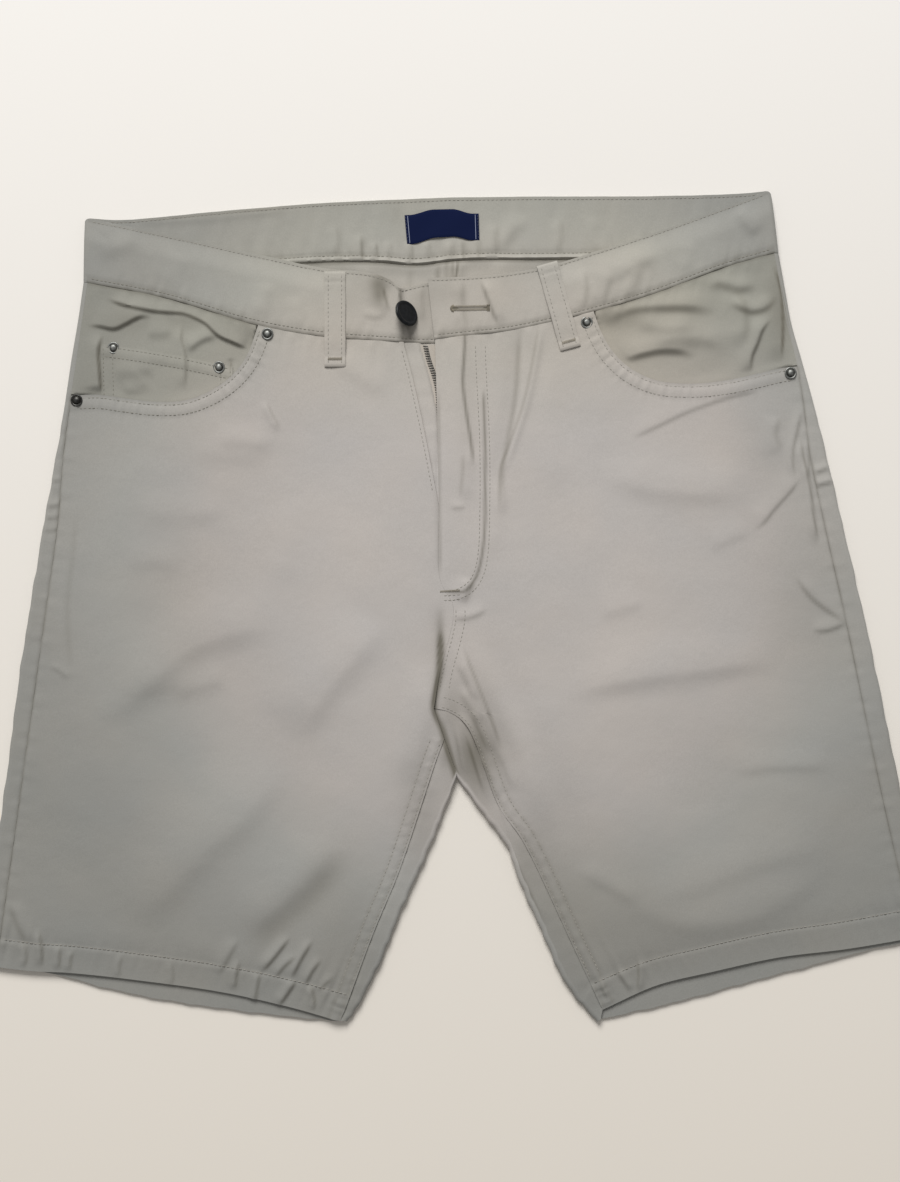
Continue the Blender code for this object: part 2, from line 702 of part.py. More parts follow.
def make_front(name, leg, mouth, band_front, fly_edge, hem):
    """One front panel, from the pocket mouth and the waist seam down to the hem."""
    side = leg.side
    waist = pick(band_front, "x", "seam")
    seam = leg.seam[HIP_ROWS:] - (side * GAP / 2, 0)
    shared = evenly(CENTRE_FRONT, SEAT_ROWS)
    fly = evenly(fly_edge, FLY_ROWS)
    extra = leg.inseam[:1] if leg.crotch_row > HIP_ROWS + FLY_ROWS + SEAT_ROWS else np.empty((0, 2))
    centre = np.vstack([fly, shared[1:], extra]) + (side * GAP / 2, 0)
    mouth_line = evenly((tuple(seam[0]), *mouth[1:-1], tuple(at_x(waist, [mouth[-1][0]])[0])), MOUTH_COLUMNS)
    waist_x = np.linspace(mouth_line[-1, 0], centre[0, 0], WAIST_COLUMNS + 1)
    waist_line = at_x(waist, waist_x)
    top = np.vstack([mouth_line, waist_line[1:]]) - (0, GAP / 2)
    top[0] = seam[0]
    centre[0] = top[-1]
    seat_rows = leg.crotch_row - HIP_ROWS
    inseam = leg.inseam - leg.inner_outward() * GAP / 2
    inseam[0] = centre[-1]
    columns = MOUTH_COLUMNS + WAIST_COLUMNS
    middle = straight(seam[seat_rows], centre[-1], columns)
    hem_middle = pick(hem, "front_x", "front_y")[1:-1]
    hem_line = evenly((tuple(seam[-1]), *hem_middle, tuple(inseam[-1])), columns)
    upper = patch(top, middle, seam[: seat_rows + 1], centre)
    lower = patch(middle, hem_line, seam[seat_rows:], inseam)
    plan = np.vstack([upper, lower[1:]])
    level = front_level(plan)
    thick = leg.cloth[HIP_ROWS:, None]
    return wall(name, raised(plan, level + thick), raised(plan, level), TWILL)


# ---------------------------------------------------------------- waistband, pockets, fly


def make_waistband():
    """One two-ply strip: button end, right front, right fold, back, left fold, buttonhole end."""
    stations = []

    def stretch(table, low_x, top_x, levels):
        low = at_x(pick(table, "x", "seam"), low_x) + (0, GAP / 2)
        high = at_x(pick(table, "x", "top"), top_x)
        stations.append((low, high, levels))

    def levels_at(x):
        step = ramp((x - STEP_START) / (STEP_END - STEP_START))
        return BAND_LEVEL - (BAND_LEVEL - SHIELD_LEVEL) * step

    right_low = BAND_FOLD_RIGHT.low + FOLD_REACH
    right_high = BAND_FOLD_RIGHT.high + FOLD_REACH
    left_low = BAND_FOLD_LEFT.low - FOLD_REACH
    left_high = BAND_FOLD_LEFT.high - FOLD_REACH
    near_end = np.linspace(BUTTON_END, STEP_START - STEP_MARGIN, BAND_NEAR_COLUMNS + 1)
    beyond = np.linspace(STEP_START - STEP_MARGIN, right_low, BAND_FRONT_COLUMNS + 1)[1:]
    x = np.concatenate([near_end, beyond])
    share = (x - x[0]) / (x[-1] - x[0])
    stretch(BAND_RIGHT, x, x[0] + (right_high - x[0]) * share, levels_at(x))
    share = np.linspace(0, 1, BAND_BACK_COLUMNS + 1)
    stretch(
        BAND_BACK,
        right_low + (left_low - right_low) * share,
        right_high + (left_high - right_high) * share,
        None,
    )
    share = np.linspace(0, 1, BAND_LEFT_COLUMNS + 1)
    stretch(
        BAND_LEFT,
        left_low + (BUTTONHOLE_END - left_low) * share,
        left_high + (BUTTONHOLE_END - left_high) * share,
        np.full(len(share), BAND_LEVEL),
    )

    def across(low, high):
        return np.stack([straight(a, b, 2) for a, b in zip(low, high)])

    outer, inner = [], []
    for index, (low, high, levels) in enumerate(stations):
        plan = across(low, high)
        under = 0 if levels is None else levels[:, None] + BAND_CLOTH
        inside = BAND_CLOTH if levels is None else levels[:, None]
        outer.append(raised(plan, under))
        inner.append(raised(plan, inside))
        if index < 2:
            outward = np.array([[-1.0, 0.0]]) if index == 0 else np.array([[1.0, 0.0]])
            next_low, next_high, _ = stations[index + 1]
            here = across(low[-1:], high[-1:])[0]
            there = across(next_low[:1], next_high[:1])[0]
            top_centre, under_centre = (here, there) if index == 0 else (there, here)
            angles = TURN_ANGLES if index == 0 else -TURN_ANGLES
            top = np.full(3, BAND_LEVEL + BAND_CLOTH)
            turned_out, turned_in = turn(
                top_centre, under_centre, np.repeat(outward, 3, 0), top, np.full(3, BAND_CLOTH), angles
            )
            outer.append(np.swapaxes(turned_out, 0, 1)[1:-1])
            inner.append(np.swapaxes(turned_in, 0, 1)[1:-1])
    return wall("waistband", np.vstack(outer), np.vstack(inner), TWILL)


def facing_plan(columns, band_front, facing, leg):
    """Ground plan of a pocket facing, with its outer column along the side seam."""

    def line(points):
        x = np.array(columns, float)
        height = at_x(points, x[:1])[0, 1]
        seam = np.interp(-height, -leg.heights, leg.seam[:, 0])
        x[0] = seam - leg.side * FACING_SEAM_CLEARANCE
        x[1] = (x[0] + x[2]) / 2
        return at_x(points, x)

    top = line(pick(band_front, "x", "seam")) - (0, GAP / 2)
    centre = line(pick(facing, "x", "middle"))
    low = line(pick(facing, "x", "bottom"))
    return np.vstack(
        [
            np.stack([straight(a, b, FACING_ROWS) for a, b in zip(top, centre)], 1),
            np.stack([straight(a, b, FACING_ROWS) for a, b in zip(centre, low)], 1)[1:],
        ]
    )


def make_facings(right, left):
    """Both facings, and the coin pocket raised from the points of the right one."""
    plan = facing_plan(FACING_COLUMNS_RIGHT, BAND_RIGHT, FACING_RIGHT, right)
    level = facing_level(plan, MOUTH_RIGHT)
    wall("pocket_facing_right", raised(plan, level + CLOTH), raised(plan, level), TWILL_INSIDE)
    coin = (slice(FACING_ROWS, None), slice(COIN_FIRST_COLUMN, COIN_LAST_COLUMN + 1))
    lift = level[coin] + CLOTH + GAP
    wall("coin_pocket", raised(plan[coin], lift + CLOTH), raised(plan[coin], lift), TWILL_INSIDE)
    plan = facing_plan(FACING_COLUMNS_LEFT, BAND_LEFT, FACING_LEFT, left)
    level = facing_level(plan, MOUTH_LEFT)
    wall("pocket_facing_left", raised(plan, level + CLOTH), raised(plan, level), TWILL_INSIDE)


def make_strip(name, sections, level, finish):
    """A flat strip down the fly, between its left and right edges."""
    table = np.array(sections)
    y = np.linspace(table[0, 0], table[-1, 0], STRIP_ROWS + 1)
    left = np.interp(-y, -table[:, 0], table[:, 1])
    right = np.interp(-y, -table[:, 0], table[:, 2])
    plan = np.stack([np.column_stack([left, y]), np.column_stack([right, y])], 1)
    return wall(name, raised(plan, level + CLOTH), raised(plan, level), finish)


def make_loop(name, ends):
    """A belt loop that lies over the waistband and comes down on the front below it."""
    start, end = np.array(ends)
    run = (end - start) / np.linalg.norm(end - start)
    sideways = np.array([-run[1], run[0]]) * LOOP_WIDTH / 2
    table = np.array(LOOP_HEIGHTS)
    middle = start + (end - start) * table[:, :1]
    plan = np.stack([middle - sideways, middle + sideways], 1)
    level = table[:, 1:]
    return wall(name, raised(plan, level + LOOP_CLOTH), raised(plan, level), TWILL)


def make_label():
    """A woven label on the inner face of the back waistband, bowed upwards in its middle."""
    share = np.linspace(0, 1, LABEL_COLUMNS + 1)
    bow = LABEL_BOW * 4 * share * (1 - share)
    x = LABEL_FIRST.x + (LABEL_LAST.x - LABEL_FIRST.x) * share
    top = LABEL_FIRST.top + (LABEL_LAST.top - LABEL_FIRST.top) * share + bow
    low = LABEL_FIRST.low + (LABEL_LAST.low - LABEL_FIRST.low) * share + bow
    plan = np.stack([np.column_stack([x, top]), np.column_stack([x, low])])
    level = BAND_CLOTH + GAP
    return wall("label", raised(plan, level + LABEL_CLOTH), raised(plan, level), NAVY_WEAVE)


def rivet_level(place):
    """Just above the highest point of the cloth under a rivet's foot."""
    angle = np.linspace(0, 2 * math.pi, ROUND_STEPS, endpoint=False)
    rim = np.column_stack([np.cos(angle), np.sin(angle)]) * RIVET_PROFILE[1].radius
    foot = np.array([[place.x, place.y]]) + np.vstack([[[0, 0]], rim])
    if place.carrier == "front":
        cloth_top = front_level(foot) + CLOTH
    else:
        cloth_top = facing_level(foot, MOUTH_RIGHT) + CLOTH + GAP + CLOTH
    return cloth_top.max() + GAP


def make_hardware():
    """The shank button, which leans over the button end's step, and the rivets."""
    button = turned("button", BUTTON_PROFILE, BLACK_ENAMEL)
    button.location = [value * METRES for value in BUTTON_PLACE]
    button.rotation_euler = (0, BUTTON_TILT, BUTTON_LEAN)
    for number, place in enumerate(RIVETS, 1):
        rivet = turned(f"rivet_{number}", RIVET_PROFILE, NICKEL)
        rivet.location = (place.x * METRES, place.y * METRES, rivet_level(place) * METRES)


def main():
    for obj in list(bpy.data.objects):
        bpy.data.objects.remove(obj)
    right = Leg(-1, OUTER_RIGHT, POCKET_END_RIGHT, CROTCH_LEVEL_RIGHT, INNER_FOLD_RIGHT, INSEAM_RIGHT, 1)
    left = Leg(1, OUTER_LEFT, POCKET_END_LEFT, CROTCH_LEVEL_LEFT, INNER_FOLD_LEFT, INSEAM_LEFT, 0)
    make_back("back_right", right, BAND_RIGHT, HEM_RIGHT)
    make_back("back_left", left, BAND_LEFT, HEM_LEFT)
    make_front("front_right", right, MOUTH_RIGHT, BAND_RIGHT, FLY_EDGE_RIGHT, HEM_RIGHT)
    make_front("front_left", left, MOUTH_LEFT, BAND_LEFT, FLY_EDGE_LEFT, HEM_LEFT)
    make_waistband()
    make_facings(right, left)
    make_strip("fly_shield", SHIELD, SHIELD_LEVEL, TWILL)
    make_strip("zip_tape_right", ZIP_RIGHT, ZIP_LEVEL, ZIP_TAPE)
    make_strip("zip_tape_left", ZIP_LEFT, ZIP_LEVEL, ZIP_TAPE)
    make_loop("belt_loop_right", LOOP_RIGHT)
    make_loop("belt_loop_left", LOOP_LEFT)
    make_label()
    make_hardware()


main()
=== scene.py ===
# Bermuda shorts of beige cotton twill, laid flat on their back with the fly open at the top.
# Tables are in millimetres: X to the wearer's left, Y to the waistband, Z up. "right" and "left"
# are the wearer's, so right has negative X. Meshes become metres in makeMesh.
import math

import bpy
import numpy as np
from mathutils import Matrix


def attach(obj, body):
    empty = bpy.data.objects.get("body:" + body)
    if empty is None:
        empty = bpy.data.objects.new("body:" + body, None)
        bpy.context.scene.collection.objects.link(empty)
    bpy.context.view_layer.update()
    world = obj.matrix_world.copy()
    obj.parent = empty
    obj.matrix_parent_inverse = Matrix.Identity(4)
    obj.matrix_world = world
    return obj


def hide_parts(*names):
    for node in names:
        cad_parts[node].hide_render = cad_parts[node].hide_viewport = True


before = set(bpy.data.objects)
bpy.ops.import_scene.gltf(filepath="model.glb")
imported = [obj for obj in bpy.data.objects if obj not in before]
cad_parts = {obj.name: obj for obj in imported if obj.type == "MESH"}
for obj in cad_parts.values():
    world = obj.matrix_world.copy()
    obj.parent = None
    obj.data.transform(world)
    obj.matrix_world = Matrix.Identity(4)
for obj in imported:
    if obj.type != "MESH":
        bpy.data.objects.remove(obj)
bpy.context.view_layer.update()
print("frame loaded:", len(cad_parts), "nodes")

# ---- the lie of the garment, the same lines as the solids have

cloth = {
    "ply": 1.2, "hem": 1.6, "band": 2.4, "gap": 0.06,
    "frontHip": 4.5, "frontLeg": 3.4, "hipY": 40.0, "legY": -60.0, "lowestFront": 1.7,
    "bandLevel": 4.2, "shieldLevel": 1.5, "zipLevel": 3.0,
    "facingLevel": 1.5, "facingRise": 2.2, "facingSlope": 30.0, "facingStart": 2.0,
    "foldReach": 3.0, "hemDepth": 18.0, "hemSink": 1.5, "cornerReach": 5.0, "seatRise": 0.9,
}
crotchApex = (0.0, -107.9)
seamCrossing = (-14.3, -64.1)
flyBottom = (-11.1, 63.5)

# outer: height, fold, side seam
leg = {
    "right": {
        "side": -1, "pocketEnd": 133.5, "crotch": -100.0, "cornerPull": 2.0,
        "inseamGrows": 10.0, "inseamDark": 0.5,
        "outer": [
            (205.4, -235.9, -232.7), (183.5, -239.0, -235.9), (156.8, -243.5, -239.7),
            (131.4, -247.3, -243.5), (96.0, -253.2, -248.2), (55.2, -260.6, -251.5),
            (17.1, -267.0, -256.5), (-46.3, -277.1, -265.7), (-97.1, -283.5, -272.7),
            (-170.2, -293.7, -282.9), (-227.6, -301.9, -291.1),
        ],
        "innerFold": [crotchApex, (-14.3, -146), (-36.5, -195.6), (-47.9, -224.1), (-68.3, -264.1)],
        "inseam": [(-7.7, -83.2), (-13, -97.1), (-21.3, -122.5), (-36.5, -167.6), (-52.4, -205.7),
                   (-73.3, -262.2)],
        "mouth": [(-243.2, 133.5), (-225.7, 134), (-211.7, 132.1), (-191.4, 129.7), (-172.6, 130.2),
                  (-160.4, 134), (-146.3, 142.2), (-136.2, 152.4), (-130.7, 161.9), (-125.1, 177.7)],
        "flyEdge": [(-33.3, 166), (-27.6, 144.1), (-21.9, 118.7), (-16.8, 93.3), flyBottom],
        "hemFront": [(-291.1, -228.6), (-268.3, -230.2), (-244.8, -231.3), (-202.2, -235.9),
                     (-150.2, -243.2), (-105.1, -253), (-73.3, -262.2)],
        "hemBack": [(-298.9, -227.6), (-278.4, -229.2), (-254.9, -232.4), (-222.5, -241),
                    (-187.6, -248.3), (-124.8, -257.1), (-68.3, -264.1)],
    },
    "left": {
        "side": 1, "pocketEnd": 152.0, "crotch": -88.0, "cornerPull": 0.6,
        "inseamGrows": 60.0, "inseamDark": 0.12,
        "outer": [
            (224.4, 203.5, 200.3), (200.0, 207.9, 204.7), (180.3, 211.5, 208.0), (156.8, 218.1, 214.0),
            (131.4, 225.1, 218.6), (95.9, 234.0, 223.2), (55.2, 243.5, 231.6), (-21.0, 261.3, 248.6),
            (-97.1, 277.1, 264.2), (-167.6, 292.0, 279.7), (-209.0, 301.9, 289.2),
        ],
        "innerFold": [crotchApex, (20, -135.2), (31.4, -150.5), (39.7, -173.3), (54, -205.5),
                      (68.3, -236.8), (88.6, -262.9)],
        "inseam": [seamCrossing, (-5.4, -66), (6, -74.3), (27, -126.3), (41.6, -147.3), (74, -215.2),
                   (92.4, -254.6)],
        "mouth": [(214.9, 152), (203.5, 150.5), (187.6, 146.7), (169.2, 142.9), (148.3, 141),
                  (126.7, 142.9), (109.8, 150.5), (98.5, 161.3), (91.4, 173.3), (86.4, 186.5)],
        "flyEdge": [(-13.6, 168.6), (-12.4, 125.1), flyBottom],
        "hemFront": [(289.2, -209.4), (272.1, -212.1), (244.8, -216.5), (203.5, -221.6),
                     (162.2, -230.5), (126, -239.4), (92.4, -254.6)],
        "hemBack": [(298.9, -209), (281.6, -212.7), (258.7, -217.8), (230.8, -225.4), (189.5, -236.2),
                    (134, -251.3), (88.6, -262.9)],
    },
}
centreFront = [flyBottom, (-10.5, 17.8), (-6.7, 9.5), (-2.4, 2), (-2.2, -7), (-4.4, -18.4),
               (-10.5, -41.3), seamCrossing]

# waistband: place across, height of its seam, height of its top edge
band = {
    "right": [(-236.5, 205.5, 246.3), (-183.8, 195.2, 235.6), (-126, 178.1, 223), (-83.5, 170.8, 214),
              (-52.4, 168.5, 210.2), (-40.3, 167.8, 205.1), (-36.5, 167.6, 201.2),
              (-26.3, 167.1, 203.2), (-8, 167, 207)],
    "left": [(-16, 168.9, 207.6), (8, 171.7, 208.5), (29.5, 174, 210.2), (56, 179.3, 214.9),
             (91, 187.9, 225.7), (126.7, 198.7, 237.4), (169.2, 214.6, 252.6), (204, 224.6, 265.8)],
    "back": [(-236.5, 205.4, 246.3), (-211.7, 208.1, 245.1), (-147.6, 214, 250.8),
             (-82.2, 218.2, 255.9), (-48, 218, 257.5), (-26, 216.2, 258.4), (-3.5, 218.7, 259.3),
             (13, 219.7, 259.5), (56.2, 219.7, 259.9), (129.2, 221.6, 260.2),
             (186.3, 223.8, 262.2), (204, 224.5, 264.5)],
    "foldRight": (-235.9, -235.2), "foldLeft": (203.5, 199.0),
    "buttonEnd": -11.7, "buttonholeLow": -14.0, "buttonholeHigh": -18.2,
    "stepStart": -37.0, "stepEnd": -32.0,
    "topSink": 2.0, "cornerRound": 1.8, "wide": 41.0, "sewn": 2.6, "sewnInside": 4.3, "sewnTop": 1.8,
}

# how many rows or columns each stretch is divided into
rowCount = {"hip": 26, "fly": 64, "seat": 84, "extra": 14, "leg": 72, "hem": 14}
columnCount = {"mouth": 100, "waist": 80, "flap": 13, "turn": 12, "under": 44, "band": 26,
               "bandFront": 150, "bandBack": 230, "bandLeft": 140}

# creases: height, how far it slopes to the left and to the right of its run, the run itself and, for some,
# how dark the painted shade along its foot is. A short slope on one side makes a crisp fold line, two long ones a
# soft roll.
creases = {
    "frontLeft": [
        (0.6, 9, 1.3, [(109.5, 107), (125.5, 114.5), (148, 125), (176.5, 134.5), (192.5, 138)], 0.2),
        (1.4, 18, 8, [(88, 88), (115, 78), (142, 74), (170, 73), (192, 72)]),
        (0.8, 8, 1.3, [(186, 49.5), (192, 53), (199.5, 62), (211, 75), (217, 84)], 0.28),
        (0.6, 9, 4, [(158, 38), (172, 44), (186, 50)]),
        (1.5, 3.5, 1.4, [(227, 38), (224, 58), (221, 80), (217, 96), (216, 108)], 0.4),
        (0.9, 3, 1.3, [(212.5, 80), (211, 97), (214, 112), (217, 126)], 0.3),
        (0.6, 2, 1.6, [(219.5, 78), (221, 92), (220, 108)], 0.25),
        (0.7, 7, 3, [(204, 96), (199, 108), (202, 122)]),
        (0.9, 7, 2, [(214, 22), (225.5, 6.5), (248, -9.5)], 0.3),
        (0.8, 5, 1.5, [(223.5, -13), (232.5, -14), (247, -8.5)], 0.25),
        (0.7, 12, 5, [(87, -4), (103, 0), (120, 5.5)]),
        (1.8, 20, 8, [(62, -54), (97.5, -46.5), (132, -41), (166.5, -36.5), (211, -30.5)]),
        (0.7, 10, 3.6, [(170, -104), (201.5, -100), (241.5, -100)]),
        (0.8, 8, 4, [(74.5, -163.5), (92.5, -173.5), (118, -186.5)]),
        (1.1, 3, 1.2, [(115, -221), (116, -232), (115, -244)]),
        (0.8, 2.5, 1.4, [(101, -228), (106, -235), (111.5, -243)]),
        (0.8, 2.5, 1.4, [(91, -232), (93, -240), (96.5, -248)]),
        (1.0, 14, 8, [(115, -184), (153, -174.5), (204, -156.5), (249, -149)]),
        (1.4, 18, 9, [(93, -171.5), (123, -191), (148.5, -198.5), (189.5, -192.5), (245, -155)]),
        (2.2, 8, 8, [(6, -12), (13.5, -30.5), (21.5, -49), (38.5, -83), (53, -123), (63, -148)]),
        (-1.5, 14, 12, [(15.5, -9), (27.5, -49), (47.5, -94.5), (64.5, -129), (81.5, -180)]),
        (1.2, 3, 2, [(27.5, -92), (17.5, -64), (8.5, -41.5), (1, -22)]),
        (0.6, 4, 2, [(-4, -5), (4, -6), (12, -4), (20, 1)], 0.2),
        (-1.3, 7, 3, [(29, 62), (29, 87), (31, 98.5), (37, 131.5), (39, 159.5), (40, 180)]),
        (1.1, 2, 2.5, [(29, 56), (29.5, 87), (34, 99.5), (44, 128.5), (50.5, 159.5), (54, 182)]),
        (0.9, 5, 1.1, [(10, 88), (8.2, 103.5), (5, 124), (3, 142), (3.8, 158), (4.3, 171), (3.5, 200)], 0.6),
        (1.0, 6, 3, [(2, 2.5), (5, 9.5), (9, 18.5)]),
        (0.4, 6, 1.1, [(-10, 10.5), (-3, 10.5), (4.5, 11), (9, 15.5), (12.5, 22), (15.5, 36), (17, 55),
                       (17, 67.5), (17, 100), (16, 140)], 0.6),
        (-0.7, 2.2, 2.2, [(-12, 140), (-11.6, 120), (-11.2, 95), (-11.1, 63), (-10.8, 40), (-10.6, 14)], 0.36),
        (0.8, 6, 2.5, [(6.5, 100), (6, 84), (4, 66)], 0.26),
        (0.4, 3, 1.5, [(-4, 64), (1, 63.5), (6, 64)], 0.16),
        (0.9, 12, 8, [(65.5, 65.5), (56, 131.5), (60.5, 157)]),
        (0.7, 8, 6, [(22, 28), (24, 60), (21, 92)]),
        (1.0, 4, 3, [(3, -50), (8.5, -60), (17, -74)], 0.16),
        (0.9, 4, 2.5, [(10, -64), (16, -77), (23, -92)], 0.2),
        (0.8, 3, 2, [(0, -32), (7, -46), (13, -60)], 0.16),
        (1.0, 2.5, 1.4, [(1, -66), (9, -80), (14, -95)]),
        (0.8, 3, 2, [(15, -92), (22, -108), (26, -124)], 0.2),
        (0.7, 4, 3, [(24, -84), (32, -100), (38, -118)], 0.12),
    ],
    "frontRight": [
        (2.2, 22, 10, [(-222, -60), (-196.5, -47), (-167.5, -24.5), (-139.5, -14.5), (-107.5, -6.5)]),
        (1.0, 12, 7, [(-182.5, -53), (-164, -48), (-142, -41.5)]),
        (2.2, 22, 10, [(-105.5, -85.5), (-84, -53), (-67, -32.5), (-46.5, -5.5)]),
        (2.2, 24, 12, [(-215, -204), (-187, -180), (-158.5, -151.5), (-134.5, -130), (-106.5, -89)]),
        (1.8, 16, 9, [(-141.5, -209.5), (-110, -184.5), (-88.5, -163), (-74, -141.5)]),
        (-0.5, 3, 4, [(-243, -46), (-245.5, -2), (-242, 33), (-240, 62)], 0.14),
        (0.6, 10, 7, [(-170, 100), (-140, 97), (-112, 99)]),
        (0.6, 12, 7, [(-206, 66), (-181.5, 60), (-138, 62)]),
        (0.5, 10, 6, [(-213.5, 28), (-190, 30), (-170, 27)]),
        (0.5, 10, 8, [(-103, 72), (-106, 44), (-108, 12)]),
        (0.7, 9, 6, [(-80, 159), (-62, 147), (-40.5, 134)]),
        (0.8, 8, 5, [(-154.5, 107.5), (-134, 105.5), (-112.5, 103)]),
        (-1.1, 13, 13, [(-135, -226), (-118, -206), (-97, -188), (-79, -167), (-70, -150)], 0.22),
        (1.6, 4, 1.3, [(-125, -231), (-116, -221), (-105, -207)], 0.5),
        (1.0, 3, 1.2, [(-116, -235), (-110, -227), (-101, -219)], 0.42),
        (1.5, 3.5, 1.3, [(-106, -236), (-100, -224), (-91, -209)], 0.48),
        (1.2, 3, 1.2, [(-97, -240), (-92, -230), (-85, -221)], 0.4),
        (0.8, 3, 1.2, [(-88, -243), (-84, -238), (-78, -233)], 0.3),
        (0.9, 5, 2, [(-152, -233), (-146, -222), (-138, -208)], 0.2),
        (1.3, 3, 1.3, [(-141, -243), (-140, -233), (-138, -222)], 0.4),
        (1.2, 3, 1.3, [(-129, -252), (-127, -241), (-125, -229)], 0.4),
        (1.5, 4, 1.3, [(-114, -253), (-107, -243), (-101, -234)], 0.5),
        (1.2, 2.5, 1.3, [(-91, -256), (-91, -247), (-94, -238)], 0.4),
        (0.9, 5, 3, [(-281, -184), (-275, -200), (-268, -214)], 0.22),
        (1.3, 3, 1.3, [(-263, -229), (-263, -217), (-265, -203)], 0.42),
        (1.0, 3, 1.3, [(-252, -230), (-252, -222), (-251, -213)], 0.36),
        (0.9, 3, 1.3, [(-245, -231), (-245, -224), (-243, -216)], 0.32),
        (0.8, 3, 1.5, [(-275, -229), (-273, -221), (-275, -211)], 0.26),
        (0.6, 3, 1.3, [(-214, -235), (-214, -227), (-212, -219)], 0.2),
        (0.6, 3, 1.3, [(-181, -240), (-180, -231), (-182, -223)], 0.2),
        (0.9, 3, 1.5, [(-111.5, 110.5), (-117, 120.5), (-122, 131)]),
        (0.4, 3, 1.3, [(-257.5, -36), (-250.5, -40), (-243.5, -46)]),
        (0.6, 6, 5, [(-243.5, -48), (-245.5, -2), (-241, 33), (-239, 70)]),
        (0.7, 14, 8, [(-238, -70), (-212, -62), (-192, -48), (-160, -50)]),
        (1.2, 12, 6, [(-32.5, -116), (-23, -78), (-20, -33.5)]),
        (-1.4, 6, 4, [(-14, -66), (-12, -50), (-10.6, -30), (-10.4, -12), (-10.5, 4)], 0.5),
        (-0.9, 2.2, 2.2, [(-11.2, 95), (-11.1, 63), (-10.8, 40), (-10.6, 14)]),
    ],
    "bandRight": [
        (1.0, 10, 6, [(-229, 222), (-212, 229), (-198, 236)]),
        (0.6, 7, 5, [(-224, 234), (-220, 238.5), (-216, 243)]),
        (1.5, 1.4, 7, [(-54, 214), (-51, 210), (-38.5, 204), (-36, 188.5), (-31, 173), (-29, 166)], 0.5),
        (0.9, 1.6, 4, [(-48, 203), (-46, 194), (-43.6, 185)], 0.4),
        (0.5, 3, 2, [(-60.5, 186), (-50, 184), (-43, 187.5)], 0.12),
        (0.6, 1.5, 1.5, [(-33, 181), (-32.5, 174), (-33, 168)], 0.34),
        (0.6, 1.5, 1.5, [(-28, 180), (-27, 174), (-28, 168)], 0.26),
        (0.8, 1.5, 4, [(-22, 206), (-23, 194), (-21, 180)], 0.08),
        (0.8, 6, 4, [(-123.5, 182), (-121, 195), (-118.5, 206)]),
        (0.6, 9, 7, [(-186, 202), (-178, 212), (-172, 224)]),
        (0.5, 5, 4, [(-102, 176), (-101, 186), (-103, 197)]),
    ],
    "bandLeft": [
        (1.2, 7, 4, [(175.5, 252.5), (183, 243), (191, 234.5)]),
        (1.1, 8.5, 4, [(93, 204.5), (111.5, 216.5), (129, 222)]),
        (1.5, 1.2, 5, [(28, 176), (21.5, 192), (15.5, 208)]),
        (0.9, 6, 3.5, [(89.5, 190), (92.5, 201), (96.5, 213)], 0.16),
        (0.9, 6, 3.5, [(104, 193), (111, 206), (114, 218)], 0.08),
        (0.7, 4, 2.5, [(78, 186), (80, 200), (78.5, 214)]),
        (0.8, 5, 3, [(3.5, 173.5), (1.5, 191.5), (2, 208.5)]),
        (0.6, 6, 4, [(140, 210), (146, 220), (148, 232)]),
        (0.5, 5, 4, [(82, 188), (84, 198), (82, 208)]),
    ],
    "bandBack": [
        (1.1, 6.6, 4, [(18.5, 221.5), (29.5, 233), (45, 248.5)]),
        (0.8, 4.4, 3, [(23, 219), (22.5, 233), (24, 244.5)]),
        (0.9, 3, 2, [(-61, 217), (-61.5, 226.5), (-61, 237)], 0.45),
        (0.7, 3, 1.6, [(-52.5, 217), (-52.3, 225.5), (-51.5, 232)], 0.38),
        (0.7, 3, 1.6, [(-43.7, 217), (-43.5, 224), (-43, 232)], 0.3),
        (0.7, 3, 1.6, [(-30.3, 216), (-30, 224), (-30.3, 232)], 0.45),
        (0.7, 3.5, 1.6, [(-18.7, 217), (-18.9, 225), (-18.7, 233)], 0.32),
        (0.6, 3, 1.6, [(-4.1, 218), (-4.0, 225), (-3.8, 232)], 0.28),
        (0.7, 3, 1.6, [(3.1, 218), (3.4, 226), (3, 234)], 0.45),
        (0.7, 3, 1.6, [(12.6, 219), (13.0, 227), (12.6, 236)], 0.36),
        (0.5, 1.4, 3, [(-205, 244), (-165, 246), (-135, 249), (-105, 252.5)], 0.3),
        (0.6, 4, 3, [(-80, 221), (-77, 232), (-79, 243)]),
        (0.6, 5, 3, [(60, 222), (64, 234), (63, 247)]),
        (0.5, 5, 4, [(90, 223), (86, 235), (88, 249)]),
    ],
    "facingRight": [
        (2.2, 13, 1.1, [(-221, 196), (-212, 192), (-200, 189), (-186, 187), (-172.5, 186),
                        (-165.5, 183.5), (-158, 179.5), (-150, 172), (-140, 167.5), (-130, 163)]),
        (1.9, 13, 1.2, [(-235, 179), (-225, 178), (-216, 176.5), (-210, 179), (-199.5, 184),
                        (-191.5, 183.5)]),
        (1.0, 5, 1, [(-173, 136.5), (-171.5, 153.5), (-172.5, 162), (-174.5, 169.5), (-173.5, 179.5)], 0.3),
        (2.0, 10, 1.2, [(-225.5, 129), (-226.5, 148.5), (-227, 162), (-224, 174)], 0.8),
        (1.5, 6, 2.5, [(-172, 161), (-162, 169), (-150, 173)], 0.15),
        (1.1, 9, 5, [(-218, 150), (-201, 150.5), (-189.5, 153.5)], 0.06),
        (1.0, 9, 5, [(-213, 136.5), (-201.5, 140.5), (-194.5, 145.5)], 0.05),
        (1.0, 7, 4, [(-197, 175), (-187, 174), (-178.5, 176.5)], 0.08),
        (-1.4, 1.6, 1.6, [(-143, 158), (-142.5, 150), (-143, 141)], 0.5),
    ],
    "facingLeft": [
